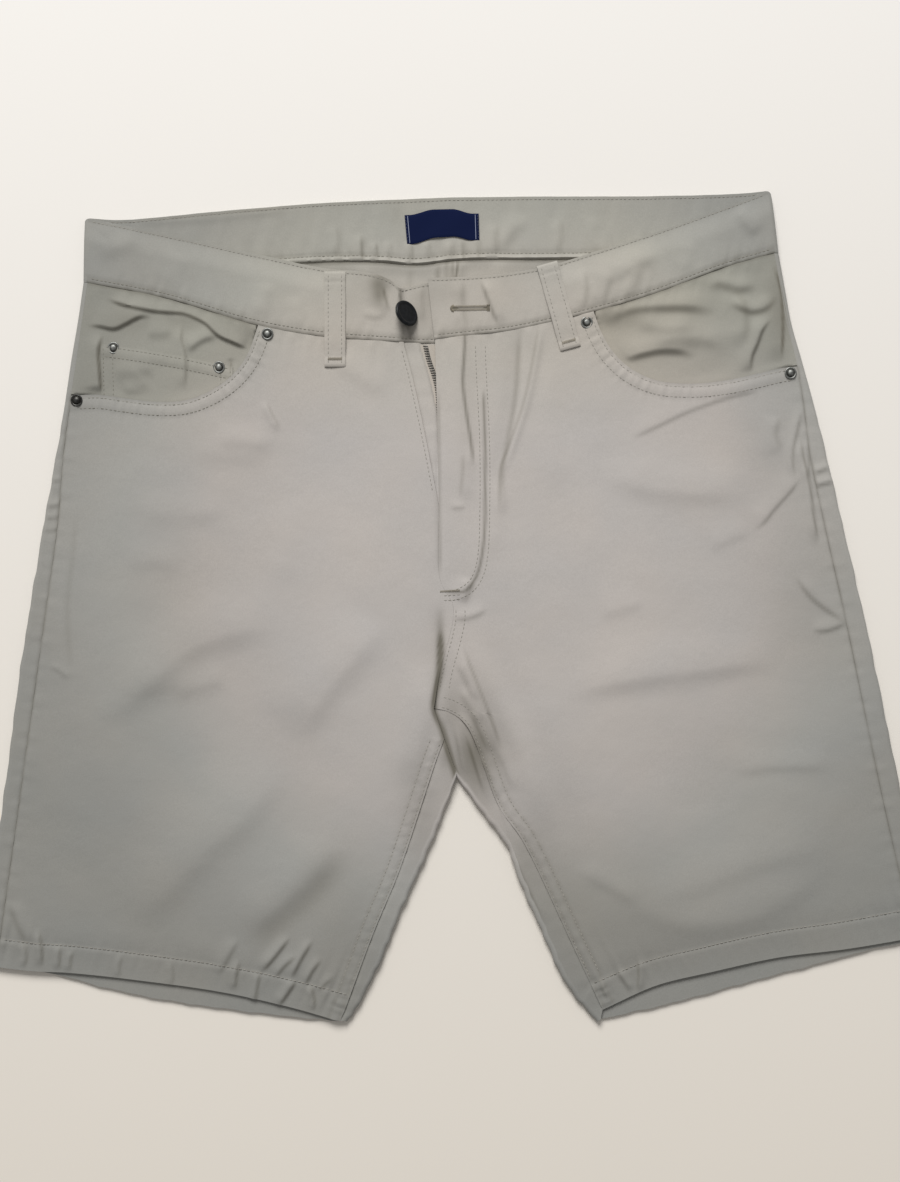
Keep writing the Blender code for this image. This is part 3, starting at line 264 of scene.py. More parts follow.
        (2.2, 10, 4, [(90, 181), (109, 190), (129, 191.5), (149.5, 191), (167, 189)], 0.42),
        (2.2, 10, 3, [(101, 156), (114, 160.5), (129, 163.5), (142, 163), (153, 159.5)], 0.34),
        (1.7, 7, 4, [(156, 202), (165, 206.5), (179, 203), (190, 206)], 0.28),
        (1.7, 6, 3, [(173, 195), (180, 190.5), (187.5, 188.5), (195, 191), (200, 199)], 0.38),
        (2.0, 6, 1.6, [(185, 145), (185.5, 158), (189, 167), (192.5, 176), (199, 184)], 0.5),
        (1.8, 6, 1.6, [(204, 154), (204.5, 181), (203, 201), (198, 217)], 0.75),
        (1.4, 8, 5, [(112, 182), (129, 178), (152, 179)], 0.08),
        (1.4, 9, 5, [(119, 168), (139.5, 171), (160, 169.5), (172.5, 164.5)], 0.08),
        (1.3, 6, 4, [(177.5, 163), (180, 178.5), (177.5, 191), (170, 201)], 0.2),
        (1.0, 6, 4, [(120, 203), (140, 205), (158, 213)], 0.06),
    ],
    "seat": [
        (1.6, 4, 1.6, [(-12, 222), (-11, 210), (-12, 196)], 0.55),
        (1.2, 2, 1.5, [(-5, 222), (-4.5, 211), (-5, 196)], 0.4),
        (1.6, 3, 1.4, [(-1.6, 222), (-1.8, 211), (-2.2, 196)], 0.75),
        (1.4, 3, 1.4, [(3, 222), (1.2, 210), (-0.8, 196)], 0.75),
        (1.0, 4, 2, [(-30, 222), (-28, 210), (-29, 196)], 0.22),
        (1.0, 7, 4, [(-58, 219), (-60, 208), (-57, 196)]),
        (1.0, 6, 4, [(24, 220), (27, 210), (25, 200)]),
    ],
    "flapLeft": [
        (1.2, 2.5, 1.6, [(0, -74), (2.5, -91), (5, -108)], 0.14),
        (1.2, 2.5, 1.6, [(6, -77), (12.5, -98), (19.5, -121)], 0.16),
        (0.9, 2.5, 1.6, [(14, -86), (24, -112), (32, -138)], 0.12),
        (0.8, 4, 2, [(34, -150), (46, -176), (58, -202)]),
        (0.8, 3, 1.3, [(225, 85.5), (230, 87), (236, 89.5)]),
        (1.0, 3, 1.3, [(225, 77), (231, 78.5), (238.5, 80.5)]),
    ],
    "flapRight": [
        (0.35, 2, 1.3, [(-259, 82), (-255, 80.5), (-249, 81)], 0.16),
        (0.4, 2, 1.3, [(-260, 66), (-256, 64.5), (-250, 65.5)], 0.2),
        (0.4, 2, 1.3, [(-261, 58.5), (-257, 57), (-250, 58)], 0.2),
        (0.35, 2, 1.3, [(-261, 50.5), (-257, 49), (-250, 50)], 0.16),
    ],
}


# ---- lines and patches


def ramp(value):
    # 0 below 0, 1 above 1, and 3t^2 - 2t^3 between
    t = np.clip(value, 0, 1)
    return t * t * (3 - 2 * t)


def smoothLine(points, steps=16):
    # a centripetal Catmull-Rom curve through the points, by Barry and Goldman's pyramid
    p = np.asarray(points, float)
    p = np.vstack([2 * p[0] - p[1], p, 2 * p[-1] - p[-2]])
    knot = np.concatenate([[0], np.cumsum(np.linalg.norm(np.diff(p, axis=0), axis=1) ** 0.5)])
    spans = []
    for i in range(1, len(p) - 2):
        k0, k1, k2, k3 = knot[i - 1 : i + 3]
        t = np.linspace(k1, k2, steps, endpoint=False)[:, None]
        a1 = (k1 - t) / (k1 - k0) * p[i - 1] + (t - k0) / (k1 - k0) * p[i]
        a2 = (k2 - t) / (k2 - k1) * p[i] + (t - k1) / (k2 - k1) * p[i + 1]
        a3 = (k3 - t) / (k3 - k2) * p[i + 1] + (t - k2) / (k3 - k2) * p[i + 2]
        b1 = (k2 - t) / (k2 - k0) * a1 + (t - k0) / (k2 - k0) * a2
        b2 = (k3 - t) / (k3 - k1) * a2 + (t - k1) / (k3 - k1) * a3
        spans.append((k2 - t) / (k2 - k1) * b1 + (t - k1) / (k2 - k1) * b2)
    return np.vstack(spans + [p[-2:-1]])


def runOf(line):
    # how far along a line each of its points lies
    return np.concatenate([[0], np.cumsum(np.linalg.norm(np.diff(line, axis=0), axis=1))])


def atRun(line, wanted):
    run = runOf(line)
    return np.column_stack([np.interp(wanted, run, line[:, k]) for k in range(line.shape[1])])


def atFractions(line, fractions):
    return atRun(line, np.asarray(fractions) * runOf(line)[-1])


def evenly(points, count):
    return atFractions(smoothLine(points), np.linspace(0, 1, count + 1))


def atX(points, x):
    line = smoothLine(points)
    line = line[np.argsort(line[:, 0])]
    return np.column_stack([x, np.interp(x, line[:, 0], line[:, 1])])


def straight(start, end, count):
    share = np.linspace(0, 1, count + 1)[:, None]
    return np.asarray(start, float) * (1 - share) + np.asarray(end, float) * share


def patch(top, bottom, near, far):
    # Coons patch: the two ruled surfaces added, less the bilinear one through the corners
    u = np.linspace(0, 1, len(top))[None, :, None]
    v = np.linspace(0, 1, len(near))[:, None, None]
    across = (1 - u) * near[:, None] + u * far[:, None]
    down = (1 - v) * top[None] + v * bottom[None]
    corners = (1 - v) * ((1 - u) * top[0] + u * top[-1]) + v * ((1 - u) * bottom[0] + u * bottom[-1])
    return across + down - corners


def shifted(line, distance):
    # the line moved sideways, to the left of its run where distance is positive
    run = np.gradient(line, axis=0)
    run /= np.maximum(np.linalg.norm(run, axis=1, keepdims=True), 1e-9)
    return line + np.column_stack([-run[:, 1], run[:, 0]]) * distance


def nearest(xy, line):
    # signed distance to a line, positive to the left of its run, and how far along it that lies
    flat = xy.reshape(-1, 2)
    best = np.full(len(flat), 1e9)
    signed = np.zeros(len(flat))
    along = np.zeros(len(flat))
    walked = 0.0
    for start, end in zip(line[:-1], line[1:]):
        length = math.hypot(*(end - start))
        if length < 1e-6:
            continue
        unit = (end - start) / length
        offset = flat - start
        forward = np.clip(offset @ unit, 0, length)
        away = offset - forward[:, None] * unit
        distance = np.hypot(away[:, 0], away[:, 1])
        closer = distance < best
        side = np.where(unit[0] * offset[:, 1] - unit[1] * offset[:, 0] >= 0, 1.0, -1.0)
        best = np.where(closer, distance, best)
        signed = np.where(closer, distance * side, signed)
        along = np.where(closer, walked + forward, along)
        walked += length
    return signed.reshape(xy.shape[:-1]), along.reshape(xy.shape[:-1])


# ---- heights


def ripple(run, wave, seed):
    # uneven waviness along a seam: four sines whose lengths don't divide each other, from -1 to 1
    share = (1.0, 0.62, 1.55, 2.37)
    weight = (0.42, 0.28, 0.2, 0.1)
    turns = [w * np.sin(2 * np.pi * run / wave * s + seed * 1.7 + 2.1 * k)
             for k, (s, w) in enumerate(zip(share, weight))]
    return sum(turns)


def rolling(xy, wave, seed):
    # soft uneven ground: six plane waves in spread directions, from about -1 to 1
    total = 0
    for k in range(6):
        angle = 0.55 * k + 0.3 * seed
        length = wave * (0.7 + 0.17 * k)
        total = total + np.sin(2 * np.pi * (xy[..., 0] * math.cos(angle) + xy[..., 1] * math.sin(angle))
                               / length + seed * 1.3 + k * 2.2)
    return total / 6


def relief(xy, rows):
    # each crease is a bell with its own slope on either side, fading out at both ends;
    # the second result is the shade along the foot of a crisp one
    height, shade = np.zeros(xy.shape[:-1]), np.zeros(xy.shape[:-1])
    for rise, toLeft, toRight, points, *dark in rows:
        line = smoothLine(points, 6)
        across, along = nearest(xy, line)
        length = runOf(line)[-1]
        steep = min(toLeft, toRight)
        tail = min(0.3 * length, 6 * steep + 4)
        fade = ramp(along / tail) * ramp((length - along) / tail)
        slope = np.where(across > 0, toLeft, toRight)
        height += rise * np.exp(-((across / slope) ** 2)) * fade
        if dark or steep < 3.5:
            foot = 0 if rise < 0 else 0.9 * steep * (1 if toLeft < toRight else -1)
            amount = dark[0] if dark else 0.27 * min(abs(rise), 2.4)
            shade += amount * bell(across - foot, max(1.0, 0.6 * steep)) * fade
    return height, np.minimum(shade, 0.75)


def bell(distance, width):
    return np.exp(-((distance / width) ** 2))


def frontBase(xy, name):
    # underside of the upper layer: highest at the hips, lowest along the hem
    hip = ramp((xy[..., 1] - cloth["legY"]) / (cloth["hipY"] - cloth["legY"]))
    above = np.abs(nearest(xy, smoothLine(leg[name]["hemFront"], 4))[0])
    sink = cloth["hemSink"] * (1 - ramp(above / 30))
    return cloth["frontLeg"] + (cloth["frontHip"] - cloth["frontLeg"]) * hip - sink


# seams on the fronts: how deep the stitching pulls in, how wavy the cloth is beside it
seamLook = {
    "mouthPly": 0.5, "mouthDepth": 8.5, "mouthFirst": 2.0, "mouthPucker": 0.5, "mouthWave": 5.0,
    "waistPucker": 0.4, "waistWave": 10.0, "waistReach": 13.0,
    "sideDip": 0.4, "sideReach": 1.3, "sidePucker": 0.2, "sideWave": 12.0, "sideShade": 0.42,
    "inseamFirst": 1.6, "inseamSecond": 8.0, "inseamPly": 0.3, "inseamPucker": 0.5, "inseamWave": 5.5,
    "inseamShade": 0.16,
    "stitchDip": 0.3, "stitchReach": 0.9,
    "hemPucker": 0.3, "hemWave": 7.5,
}


def stitchedPly(inside, first, second, ply):
    # a doubled edge between the cut edge and its second row of stitching, pulled in at both rows
    look = seamLook
    doubled = ply * (1 - ramp((inside - second) / 1.6))
    return (doubled - look["stitchDip"] * bell(inside - first, look["stitchReach"])
            - look["stitchDip"] * bell(inside - second, look["stitchReach"]))


def frontTop(xy, name):
    # upper face of a front panel: its level, its creases, and what each seam does to it
    look = seamLook
    this = leg[name]
    side = this["side"]
    folds, shade = relief(xy, creases["front" + name.capitalize()])
    z = frontBase(xy, name) + cloth["ply"] + folds
    z = z + 0.35 * rolling(xy, 85, 2 + side) + 0.12 * rolling(xy, 31, 4 + side)
    across, along = nearest(xy, smoothLine(this["mouth"], 6))
    inside = np.maximum(side * across, 0)
    edge = stitchedPly(inside, look["mouthFirst"], look["mouthDepth"], look["mouthPly"])
    z = z + edge + look["mouthPucker"] * ripple(along, look["mouthWave"], side) * bell(inside - 5, 6)
    across, along = nearest(xy, smoothLine([row[:2] for row in band[name]], 6))
    pucker = look["waistPucker"] * ripple(along, look["waistWave"], 3 + side) * bell(across, look["waistReach"])
    z = z + pucker * ramp(np.abs(across) / 3)
    seam = smoothLine([(row[2], row[0]) for row in this["outer"]], 6)
    across, along = nearest(xy, seam)
    z = z - look["sideDip"] * bell(across, look["sideReach"])
    z = z + look["sidePucker"] * ripple(along, look["sideWave"], 5 + side) * bell(across, 7)
    shade = shade + sideShade(across, along)
    inseam = smoothLine(this["inseam"], 6)
    across, along = nearest(xy, inseam)
    inside = np.abs(across)
    below = ramp((inseam[0, 1] + 4 - xy[..., 1]) / this["inseamGrows"])
    doubled = stitchedPly(inside, look["inseamFirst"], look["inseamSecond"], look["inseamPly"])
    pucker = look["inseamPucker"] * ripple(along, look["inseamWave"], 7 + side) * bell(inside - 4, 5)
    z = z + (doubled + pucker) * below
    rows = bell(inside - look["inseamFirst"], 1.0) + bell(inside - look["inseamSecond"], 1.2)
    shade = shade + look["inseamShade"] * (1 + ripple(along, look["inseamWave"], 7 + side)) * rows * below
    return z + centreLift(xy, name), np.minimum(shade + softShade(xy) + foldShade(xy), 0.92)


def foldShade(xy):
    # the dark bottom of the deep fold, wide as far as the seams cross and narrow below them
    across, along = nearest(xy, smoothLine(centreFold, 6))
    below = ramp((along - 50) / 14)
    return (0.95 - 0.05 * below) * bell(across, 2.1 - 0.2 * below) * ramp(along / 14)


def sideShade(across, along):
    # the thin dark line of the side seam, a little uneven
    uneven = 0.8 + 0.3 * ripple(along, 38, 2)
    return seamLook["sideShade"] * uneven * bell(across, 0.9)


# places that lie in shade: middle, how far it reaches across and along, how dark
shaded = [
    ((-178, 8), (42, 80), 0.13), ((-196, -76), (34, 34), 0.08), ((-105, -75), (30, 40), 0.06),
    ((10, -86), (18, 40), 0.30), ((58, -182), (30, 62), 0.26), ((-70, -205), (30, 46), 0.20),
    ((12, -98), (11, 26), 0.36), ((41, -160), (12, 24), 0.18), ((-22, -128), (14, 40), 0.26),
    ((106, -196), (40, 46), 0.18), ((8, 22), (14, 12), 0.06), ((-131, 98), (30, 22), 0.06),
    ((-4, -62), (7, 16), 0.26), ((8, -90), (8, 12), 0.14), ((26, -90), (12, 18), 0.14),
    ((-7, -93), (4, 9), 0.22), ((-47.5, 196), (4, 7), 0.20),
    ((222, 6), (34, 50), 0.15), ((194, 100), (22, 30), 0.09),
    ((-49.5, 200), (5, 10), 0.50), ((-8, 198), (9, 8), 0.16), ((2, 196), (5, 7), 0.12),
    ((-37, 246), (6, 10), 0.12), ((8, 124), (7, 40), 0.10), ((102, 181), (16, 6), 0.22),
    ((170, -92), (50, 30), 0.06), ((104, -206), (40, 30), 0.05),
    ((165, -216), (70, 18), 0.08), ((-160, -236), (60, 14), 0.06), ((-22, 189), (7, 18), 0.24),
    ((-47, 205), (9, 5), 0.2), ((-62, 196), (16, 12), 0.06), ((24, 190), (14, 16), 0.06),
    ((-165, 180), (34, 8), 0.16), ((-138, 165), (12, 12), 0.12), ((-212, 182), (14, 9), 0.14),
    ((120, 168), (40, 14), 0.08), ((204, 186), (8, 28), 0.36), ((140, 186), (36, 10), 0.13),
]


def softShade(xy):
    # the sum of the shaded places, each a bell across and along
    total = 0
    for (x, y), (wide, long), amount in shaded:
        total = total + amount * np.exp(-(((xy[..., 0] - x) / wide) ** 2) - ((xy[..., 1] - y) / long) ** 2)
    return total


def frontZ(xy, name):
    return frontTop(xy, name)[0]


# the crotch: the right front rides over the left one along the deep fold
centreFold = [(-10.2, -12), (-10.5, -41.3), seamCrossing, (-9.2, -77.5), (-6, -88.3), crotchApex]


def centreLift(xy, name):
    across, along = nearest(xy, smoothLine(centreFold, 8))
    length = runOf(smoothLine(centreFold, 8))[-1]
    here = ramp((along - 14) / 22) * (1 - 0.5 * ramp((along - 0.6 * length) / (0.4 * length)))
    away = np.abs(across)
    if name == "right":
        return here * (0.9 * bell(away, 7) - 0.8 * bell(away, 1.2))
    return here * (-1.9 * bell(away, 7))


def facingTop(xy, name):
    # upper face of a pocket facing: low under the front, rising and folded inside the open mouth
    this = leg[name]
    across, along = nearest(xy, smoothLine(this["mouth"], 6))
    depth = np.maximum(-this["side"] * across, 0)
    inner = ramp((depth - 0.5) / 6)
    rise = ramp((depth - cloth["facingStart"]) / cloth["facingSlope"])
    folds, shade = relief(xy, creases["facing" + name.capitalize()])
    z = cloth["facingLevel"] + cloth["ply"] + cloth["facingRise"] * rise + folds * inner
    z = z + 0.35 * rolling(xy, 30, 6 + this["side"]) * inner
    z = np.maximum(z, cloth["facingLevel"] + cloth["ply"] - 0.1)
    waist = np.abs(nearest(xy, smoothLine([row[:2] for row in band[name]], 6))[0])
    seam = np.abs(nearest(xy, smoothLine([(row[2], row[0]) for row in this["outer"]], 6))[0])
    level = frontBase(xy, name) + cloth["ply"] - 0.04
    shown = ramp(depth + 0.2)
    pucker = 0.3 * ripple(xy[..., 0], 9, 3 + this["side"]) * bell(waist - 4, 6) * ramp(waist / 4) * inner
    z = z + (level - z) * bell(waist, 8) * shown + pucker
    # painted shade along the waist seam, besides the shaded places
    shade = shade + softShade(xy) + 0.4 * bell(waist, 1.3)
    return z + (level - z) * bell(seam, 9) * shown, np.minimum(shade * inner, 0.85)


# ---- meshes


def makeMesh(name, points, faces, material, smoothShade=True, paintedShadeAndPatina=None):
    # faces is an array of quads or triangles; points are millimetres
    mesh = bpy.data.meshes.new(name)
    points = np.asarray(points, np.float32) / 1000
    faces = np.asarray(faces, np.int32)
    mesh.vertices.add(len(points))
    mesh.vertices.foreach_set("co", points.ravel())
    mesh.loops.add(faces.size)
    mesh.loops.foreach_set("vertex_index", faces.ravel())
    mesh.polygons.add(len(faces))
    mesh.polygons.foreach_set("loop_start", np.arange(0, faces.size, faces.shape[1], dtype=np.int32))
    mesh.polygons.foreach_set("use_smooth", np.full(len(faces), smoothShade))
    mesh.update(calc_edges=True)
    mesh.validate()
    # the attribute holds painted shade on the cloth and patina on the metal, which the materials mix in
    values = np.zeros(len(points), np.float32) if paintedShadeAndPatina is None else np.asarray(paintedShadeAndPatina, np.float32)
    attribute = mesh.attributes.new("paintedShadeAndPatina", "FLOAT", "POINT")
    attribute.data.foreach_set("value", values)
    mesh.materials.append(material)
    piece = bpy.data.objects.new(name, mesh)
    bpy.context.scene.collection.objects.link(piece)
    return piece


def outwardFaces(points, faces):
    # turned round if the signed volume they enclose is negative
    a, b, c = (points[faces[:, k]] for k in (0, 1, 2))
    volume = np.einsum("ij,ij->i", a, np.cross(b, c)).sum()
    if faces.shape[1] == 4:
        d = points[faces[:, 3]]
        volume += np.einsum("ij,ij->i", a, np.cross(c, d)).sum()
    return faces[:, ::-1] if volume < 0 else faces


def shell(name, upper, lower, material, cells=None, paintedShadeAndPatina=None, lowerPaintedShade=None, sharp=55):
    # two grids of points joined cell by cell, with a rim along every free edge;
    # the lower grid has the upper one's painted shade where it has none of its own
    rows, columns = upper.shape[:2]
    if cells is None:
        cells = np.ones((rows - 1, columns - 1), bool)
    index = np.arange(rows * columns).reshape(rows, columns)
    below = rows * columns
    a, b = index[:-1, :-1][cells], index[:-1, 1:][cells]
    c, d = index[1:, 1:][cells], index[1:, :-1][cells]
    faces = [np.column_stack([a, b, c, d]), np.column_stack([d, c, b, a]) + below]
    around = np.pad(cells, 1)
    for mask, first, second in (
        (around[1:, 1:-1] & ~around[:-1, 1:-1], index[:, :-1], index[:, 1:]),
        (around[:-1, 1:-1] & ~around[1:, 1:-1], index[:, 1:], index[:, :-1]),
        (around[1:-1, :-1] & ~around[1:-1, 1:], index[:-1], index[1:]),
        (around[1:-1, 1:] & ~around[1:-1, :-1], index[1:], index[:-1]),
    ):
        start, end = first[mask], second[mask]
        faces.append(np.column_stack([end, start, start + below, end + below]))
    faces = np.vstack(faces)
    points = np.vstack([upper.reshape(-1, 3), lower.reshape(-1, 3)])
    used, faces = np.unique(faces, return_inverse=True)
    faces = outwardFaces(points[used], faces.reshape(-1, 4))
    values = None
    if paintedShadeAndPatina is not None:
        second = paintedShadeAndPatina if lowerPaintedShade is None else lowerPaintedShade
        values = np.concatenate([paintedShadeAndPatina.ravel(), second.ravel()])[used]
    piece = makeMesh(name, points[used], faces, material, True, values)
    piece.data.set_sharp_from_angle(angle=math.radians(sharp))
    return piece


def lifted(xy, z):
    return np.concatenate([xy, np.broadcast_to(np.asarray(z, float), xy.shape[:-1])[..., None]], -1)


def lathe(profile, turns=40):
    # a profile of (radius, height) carried round the z axis; its ends are closed at the axis
    profile = np.asarray(profile, float)
    angle = np.linspace(0, 2 * np.pi, turns, endpoint=False)
    ring = np.stack([np.cos(angle), np.sin(angle)], -1)
    points = np.concatenate([profile[:, None, :1] * ring, np.repeat(profile[:, None, 1:], turns, 1)], -1)
    index = np.arange(len(profile) * turns).reshape(len(profile), turns)
    step = np.roll(index, -1, 1)
    faces = np.stack([index[:-1], step[:-1], step[1:], index[1:]], -1).reshape(-1, 4)
    points = points.reshape(-1, 3)
    faces = outwardFaces(points, faces)
    return points, faces


# ---- materials


def newMaterial(name, roughness, metallic=0.0):
    material = bpy.data.materials.new(name)
    material.use_nodes = True
    nodes, links = material.node_tree.nodes, material.node_tree.links
    shader = nodes["Principled BSDF"]
    shader.inputs["Roughness"].default_value = roughness
    shader.inputs["Metallic"].default_value = metallic
    place = nodes.new("ShaderNodeTexCoord")
    return material, nodes, links, shader, place.outputs["Object"]


def mixColour(nodes, links, factor, first, second, blend="MIX"):
    # one Mix node on colours; each input is a socket or a constant
    mix = nodes.new("ShaderNodeMix")
    mix.data_type = "RGBA"
    mix.blend_type = blend
    for socket, value in ((mix.inputs[0], factor), (mix.inputs[6], first), (mix.inputs[7], second)):
        if isinstance(value, bpy.types.NodeSocket):
            links.new(value, socket)
        else:
            socket.default_value = value if isinstance(value, float) else (*value, 1)
    return mix.outputs[2]


def noise(nodes, links, vector, scale, detail=2.0, stretch=None):
    if stretch:
        mapping = nodes.new("ShaderNodeMapping")
        mapping.inputs["Scale"].default_value = stretch
        links.new(vector, mapping.inputs["Vector"])
        vector = mapping.outputs["Vector"]
    texture = nodes.new("ShaderNodeTexNoise")
    texture.inputs["Scale"].default_value = scale
    texture.inputs["Detail"].default_value = detail
    links.new(vector, texture.inputs["Vector"])
    return texture.outputs["Fac"]


def ramped(nodes, links, factor, stops):
    node = nodes.new("ShaderNodeValToRGB")
    elements = node.color_ramp.elements
    while len(elements) < len(stops):
        elements.new(0.5)
    for element, (position, colour) in zip(elements, stops):
        element.position = position
        element.color = (*colour, 1)
    links.new(factor, node.inputs["Fac"])
    return node.outputs["Color"]


twillLook = {
    # painted falloff of light: warm beige over the middle, cooler and darker towards the sides and hems
    "paintedLightFalloff": [(0.0, (0.268, 0.268, 0.253)), (0.12, (0.288, 0.286, 0.271)), (0.28, (0.350, 0.347, 0.330)),
               (0.45, (0.430, 0.406, 0.388)), (0.7, (0.462, 0.437, 0.420))],
    "spread": (3.1, 3.3, 0.0), "shift": (-0.055, -0.1, 0.0),
    "waistScale": (4.4, 9.0, 0.0), "waistPlace": (0.0, -1.9, 0.0), "waistTint": (1.0, 0.997, 0.95),
    "crease": (0.13, 0.12, 0.095),
    "ribPitch": 0.00062, "ribAngle": 63.0, "ribDepth": 0.00006,
    "roughness": 0.86, "sheen": 0.12,
}


def twillMaterial(name, tint=(1.0, 1.0, 1.0)):
    # diagonal ribs and slubs in the bump, a painted falloff of light over the garment, and painted shade from the
    # attribute in creases, seams and shaded places
    look = twillLook
    material, nodes, links, shader, place = newMaterial(name, look["roughness"])
    # painted falloff of light: a radial gradient, shifted a little off the middle
    spread = nodes.new("ShaderNodeMapping")
    spread.inputs["Location"].default_value = look["shift"]
    spread.inputs["Scale"].default_value = look["spread"]
    links.new(place, spread.inputs["Vector"])
    radial = nodes.new("ShaderNodeTexGradient")
    radial.gradient_type = "SPHERICAL"
    links.new(spread.outputs["Vector"], radial.inputs["Vector"])
    colour = ramped(nodes, links, radial.outputs["Fac"], look["paintedLightFalloff"])
    cloud = noise(nodes, links, place, 14.0, 2.0)
    colour = mixColour(nodes, links, 1.0, colour, ramped(
        nodes, links, cloud, [(0.3, (0.965, 0.975, 0.985)), (0.7, (1.03, 1.015, 1.0))]), "MULTIPLY")
    fleck = noise(nodes, links, place, 1500.0, 1.0)
    colour = mixColour(nodes, links, 1.0, colour, ramped(
        nodes, links, fleck, [(0.3, (0.95, 0.95, 0.95)), (0.7, (1.04, 1.04, 1.04))]), "MULTIPLY")
    waist = nodes.new("ShaderNodeMapping")
    waist.inputs["Location"].default_value = look["waistPlace"]
    waist.inputs["Scale"].default_value = look["waistScale"]
    links.new(place, waist.inputs["Vector"])
    waistGlow = nodes.new("ShaderNodeTexGradient")
    waistGlow.gradient_type = "SPHERICAL"
    links.new(waist.outputs["Vector"], waistGlow.inputs["Vector"])
    colour = mixColour(nodes, links, 1.0, colour, ramped(
        nodes, links, waistGlow.outputs["Fac"], [(0.0, (1.0, 1.0, 1.0)), (0.5, look["waistTint"])]), "MULTIPLY")
    colour = mixColour(nodes, links, 1.0, colour, tint, "MULTIPLY")
    # painted shade: the colour goes towards a dark brown as far as the attribute says
    shade = nodes.new("ShaderNodeAttribute")
    shade.attribute_name = "paintedShadeAndPatina"
    colour = mixColour(nodes, links, shade.outputs["Fac"], colour, look["crease"])
    links.new(colour, shader.inputs["Base Color"])
    shader.inputs["Sheen Weight"].default_value = look["sheen"]
    shader.inputs["Sheen Roughness"].default_value = 0.4
    shader.inputs["Specular IOR Level"].default_value = 0.25
    turn = nodes.new("ShaderNodeMapping")
    turn.inputs["Rotation"].default_value = (0, 0, math.radians(look["ribAngle"]))
    links.new(place, turn.inputs["Vector"])
    rib = nodes.new("ShaderNodeTexWave")
    rib.wave_type = "BANDS"
    rib.bands_direction = "X"
    rib.inputs["Scale"].default_value = 2 * math.pi / 20 / look["ribPitch"]
    rib.inputs["Distortion"].default_value = 0.6
    rib.inputs["Detail"].default_value = 1.0
    rib.inputs["Detail Scale"].default_value = 1.0
    links.new(turn.outputs["Vector"], rib.inputs["Vector"])
    slub = noise(nodes, links, place, 420.0, 3.0, (1.0, 0.35, 1.0))
    crumple = noise(nodes, links, place, 75.0, 3.0)
    first = nodes.new("ShaderNodeBump")
    first.inputs["Strength"].default_value = 0.35
    first.inputs["Distance"].default_value = look["ribDepth"]
    links.new(rib.outputs["Fac"], first.inputs["Height"])
    second = nodes.new("ShaderNodeBump")
    second.inputs["Strength"].default_value = 0.35
    second.inputs["Distance"].default_value = 0.00012
    links.new(slub, second.inputs["Height"])
    links.new(first.outputs["Normal"], second.inputs["Normal"])
    third = nodes.new("ShaderNodeBump")
    third.inputs["Strength"].default_value = 0.4
    third.inputs["Distance"].default_value = 0.0008
    links.new(crumple, third.inputs["Height"])
    links.new(second.outputs["Normal"], third.inputs["Normal"])
    links.new(third.outputs["Normal"], shader.inputs["Normal"])
    return material


def threadMaterial(name, colour):
    # twisted cotton: the shade wavers along the thread and the bump is a fine twist
    material, nodes, links, shader, place = newMaterial(name, 0.7)
    waver = noise(nodes, links, place, 260.0, 2.0)
    dark = tuple(0.82 * c for c in colour)
    light = tuple(min(1.0, 1.15 * c) for c in colour)
    links.new(ramped(nodes, links, waver, [(0.3, dark), (0.7, light)]), shader.inputs["Base Color"])
    twist = nodes.new("ShaderNodeBump")
    twist.inputs["Strength"].default_value = 0.4
    twist.inputs["Distance"].default_value = 0.0001
    links.new(noise(nodes, links, place, 3000.0, 1.0), twist.inputs["Height"])
    links.new(twist.outputs["Normal"], shader.inputs["Normal"])
    shader.inputs["Sheen Weight"].default_value = 0.2
    return material


def metalMaterial(name, dark, light, roughness, wear=700.0):
    # old plating: blotches between two shades, with the roughness following them, dark as far as the attribute says:
    # patina in the hollows and, on a rivet's dome, a painted dark reflection
    material, nodes, links, shader, place = newMaterial(name, roughness, 1.0)
    blotch = noise(nodes, links, place, wear, 4.0)
    colour = ramped(nodes, links, blotch, [(0.35, dark), (0.65, light)])
    patinaAndReflection = nodes.new("ShaderNodeAttribute")
    patinaAndReflection.attribute_name = "paintedShadeAndPatina"
    colour = mixColour(nodes, links, patinaAndReflection.outputs["Fac"], colour, (0.035, 0.034, 0.03))
    links.new(colour, shader.inputs["Base Color"])
    rough = nodes.new("ShaderNodeMapRange")
    rough.inputs["To Min"].default_value = roughness - 0.08
    rough.inputs["To Max"].default_value = roughness + 0.12
    links.new(blotch, rough.inputs["Value"])
    links.new(rough.outputs["Result"], shader.inputs["Roughness"])
    grain = nodes.new("ShaderNodeBump")
    grain.inputs["Strength"].default_value = 0.2
    grain.inputs["Distance"].default_value = 0.00005
    links.new(noise(nodes, links, place, 4000.0, 2.0), grain.inputs["Height"])
    links.new(grain.outputs["Normal"], shader.inputs["Normal"])
    return material


def enamelMaterial(name):
    # near-black baked enamel with faint mottling and a satin gloss
    material, nodes, links, shader, place = newMaterial(name, 0.38)
    blotch = noise(nodes, links, place, 500.0, 3.0)
    stops = [(0.3, (0.004, 0.005, 0.006)), (0.7, (0.010, 0.011, 0.013))]
    links.new(ramped(nodes, links, blotch, stops), shader.inputs["Base Color"])
    shader.inputs["Specular IOR Level"].default_value = 0.16
    shader.inputs["Coat Weight"].default_value = 0.06
    shader.inputs["Coat Roughness"].default_value = 0.3
    pits = nodes.new("ShaderNodeBump")
    pits.inputs["Strength"].default_value = 0.25
    pits.inputs["Distance"].default_value = 0.00006
    links.new(noise(nodes, links, place, 2500.0, 2.0), pits.inputs["Height"])
    links.new(pits.outputs["Normal"], shader.inputs["Normal"])
    return material


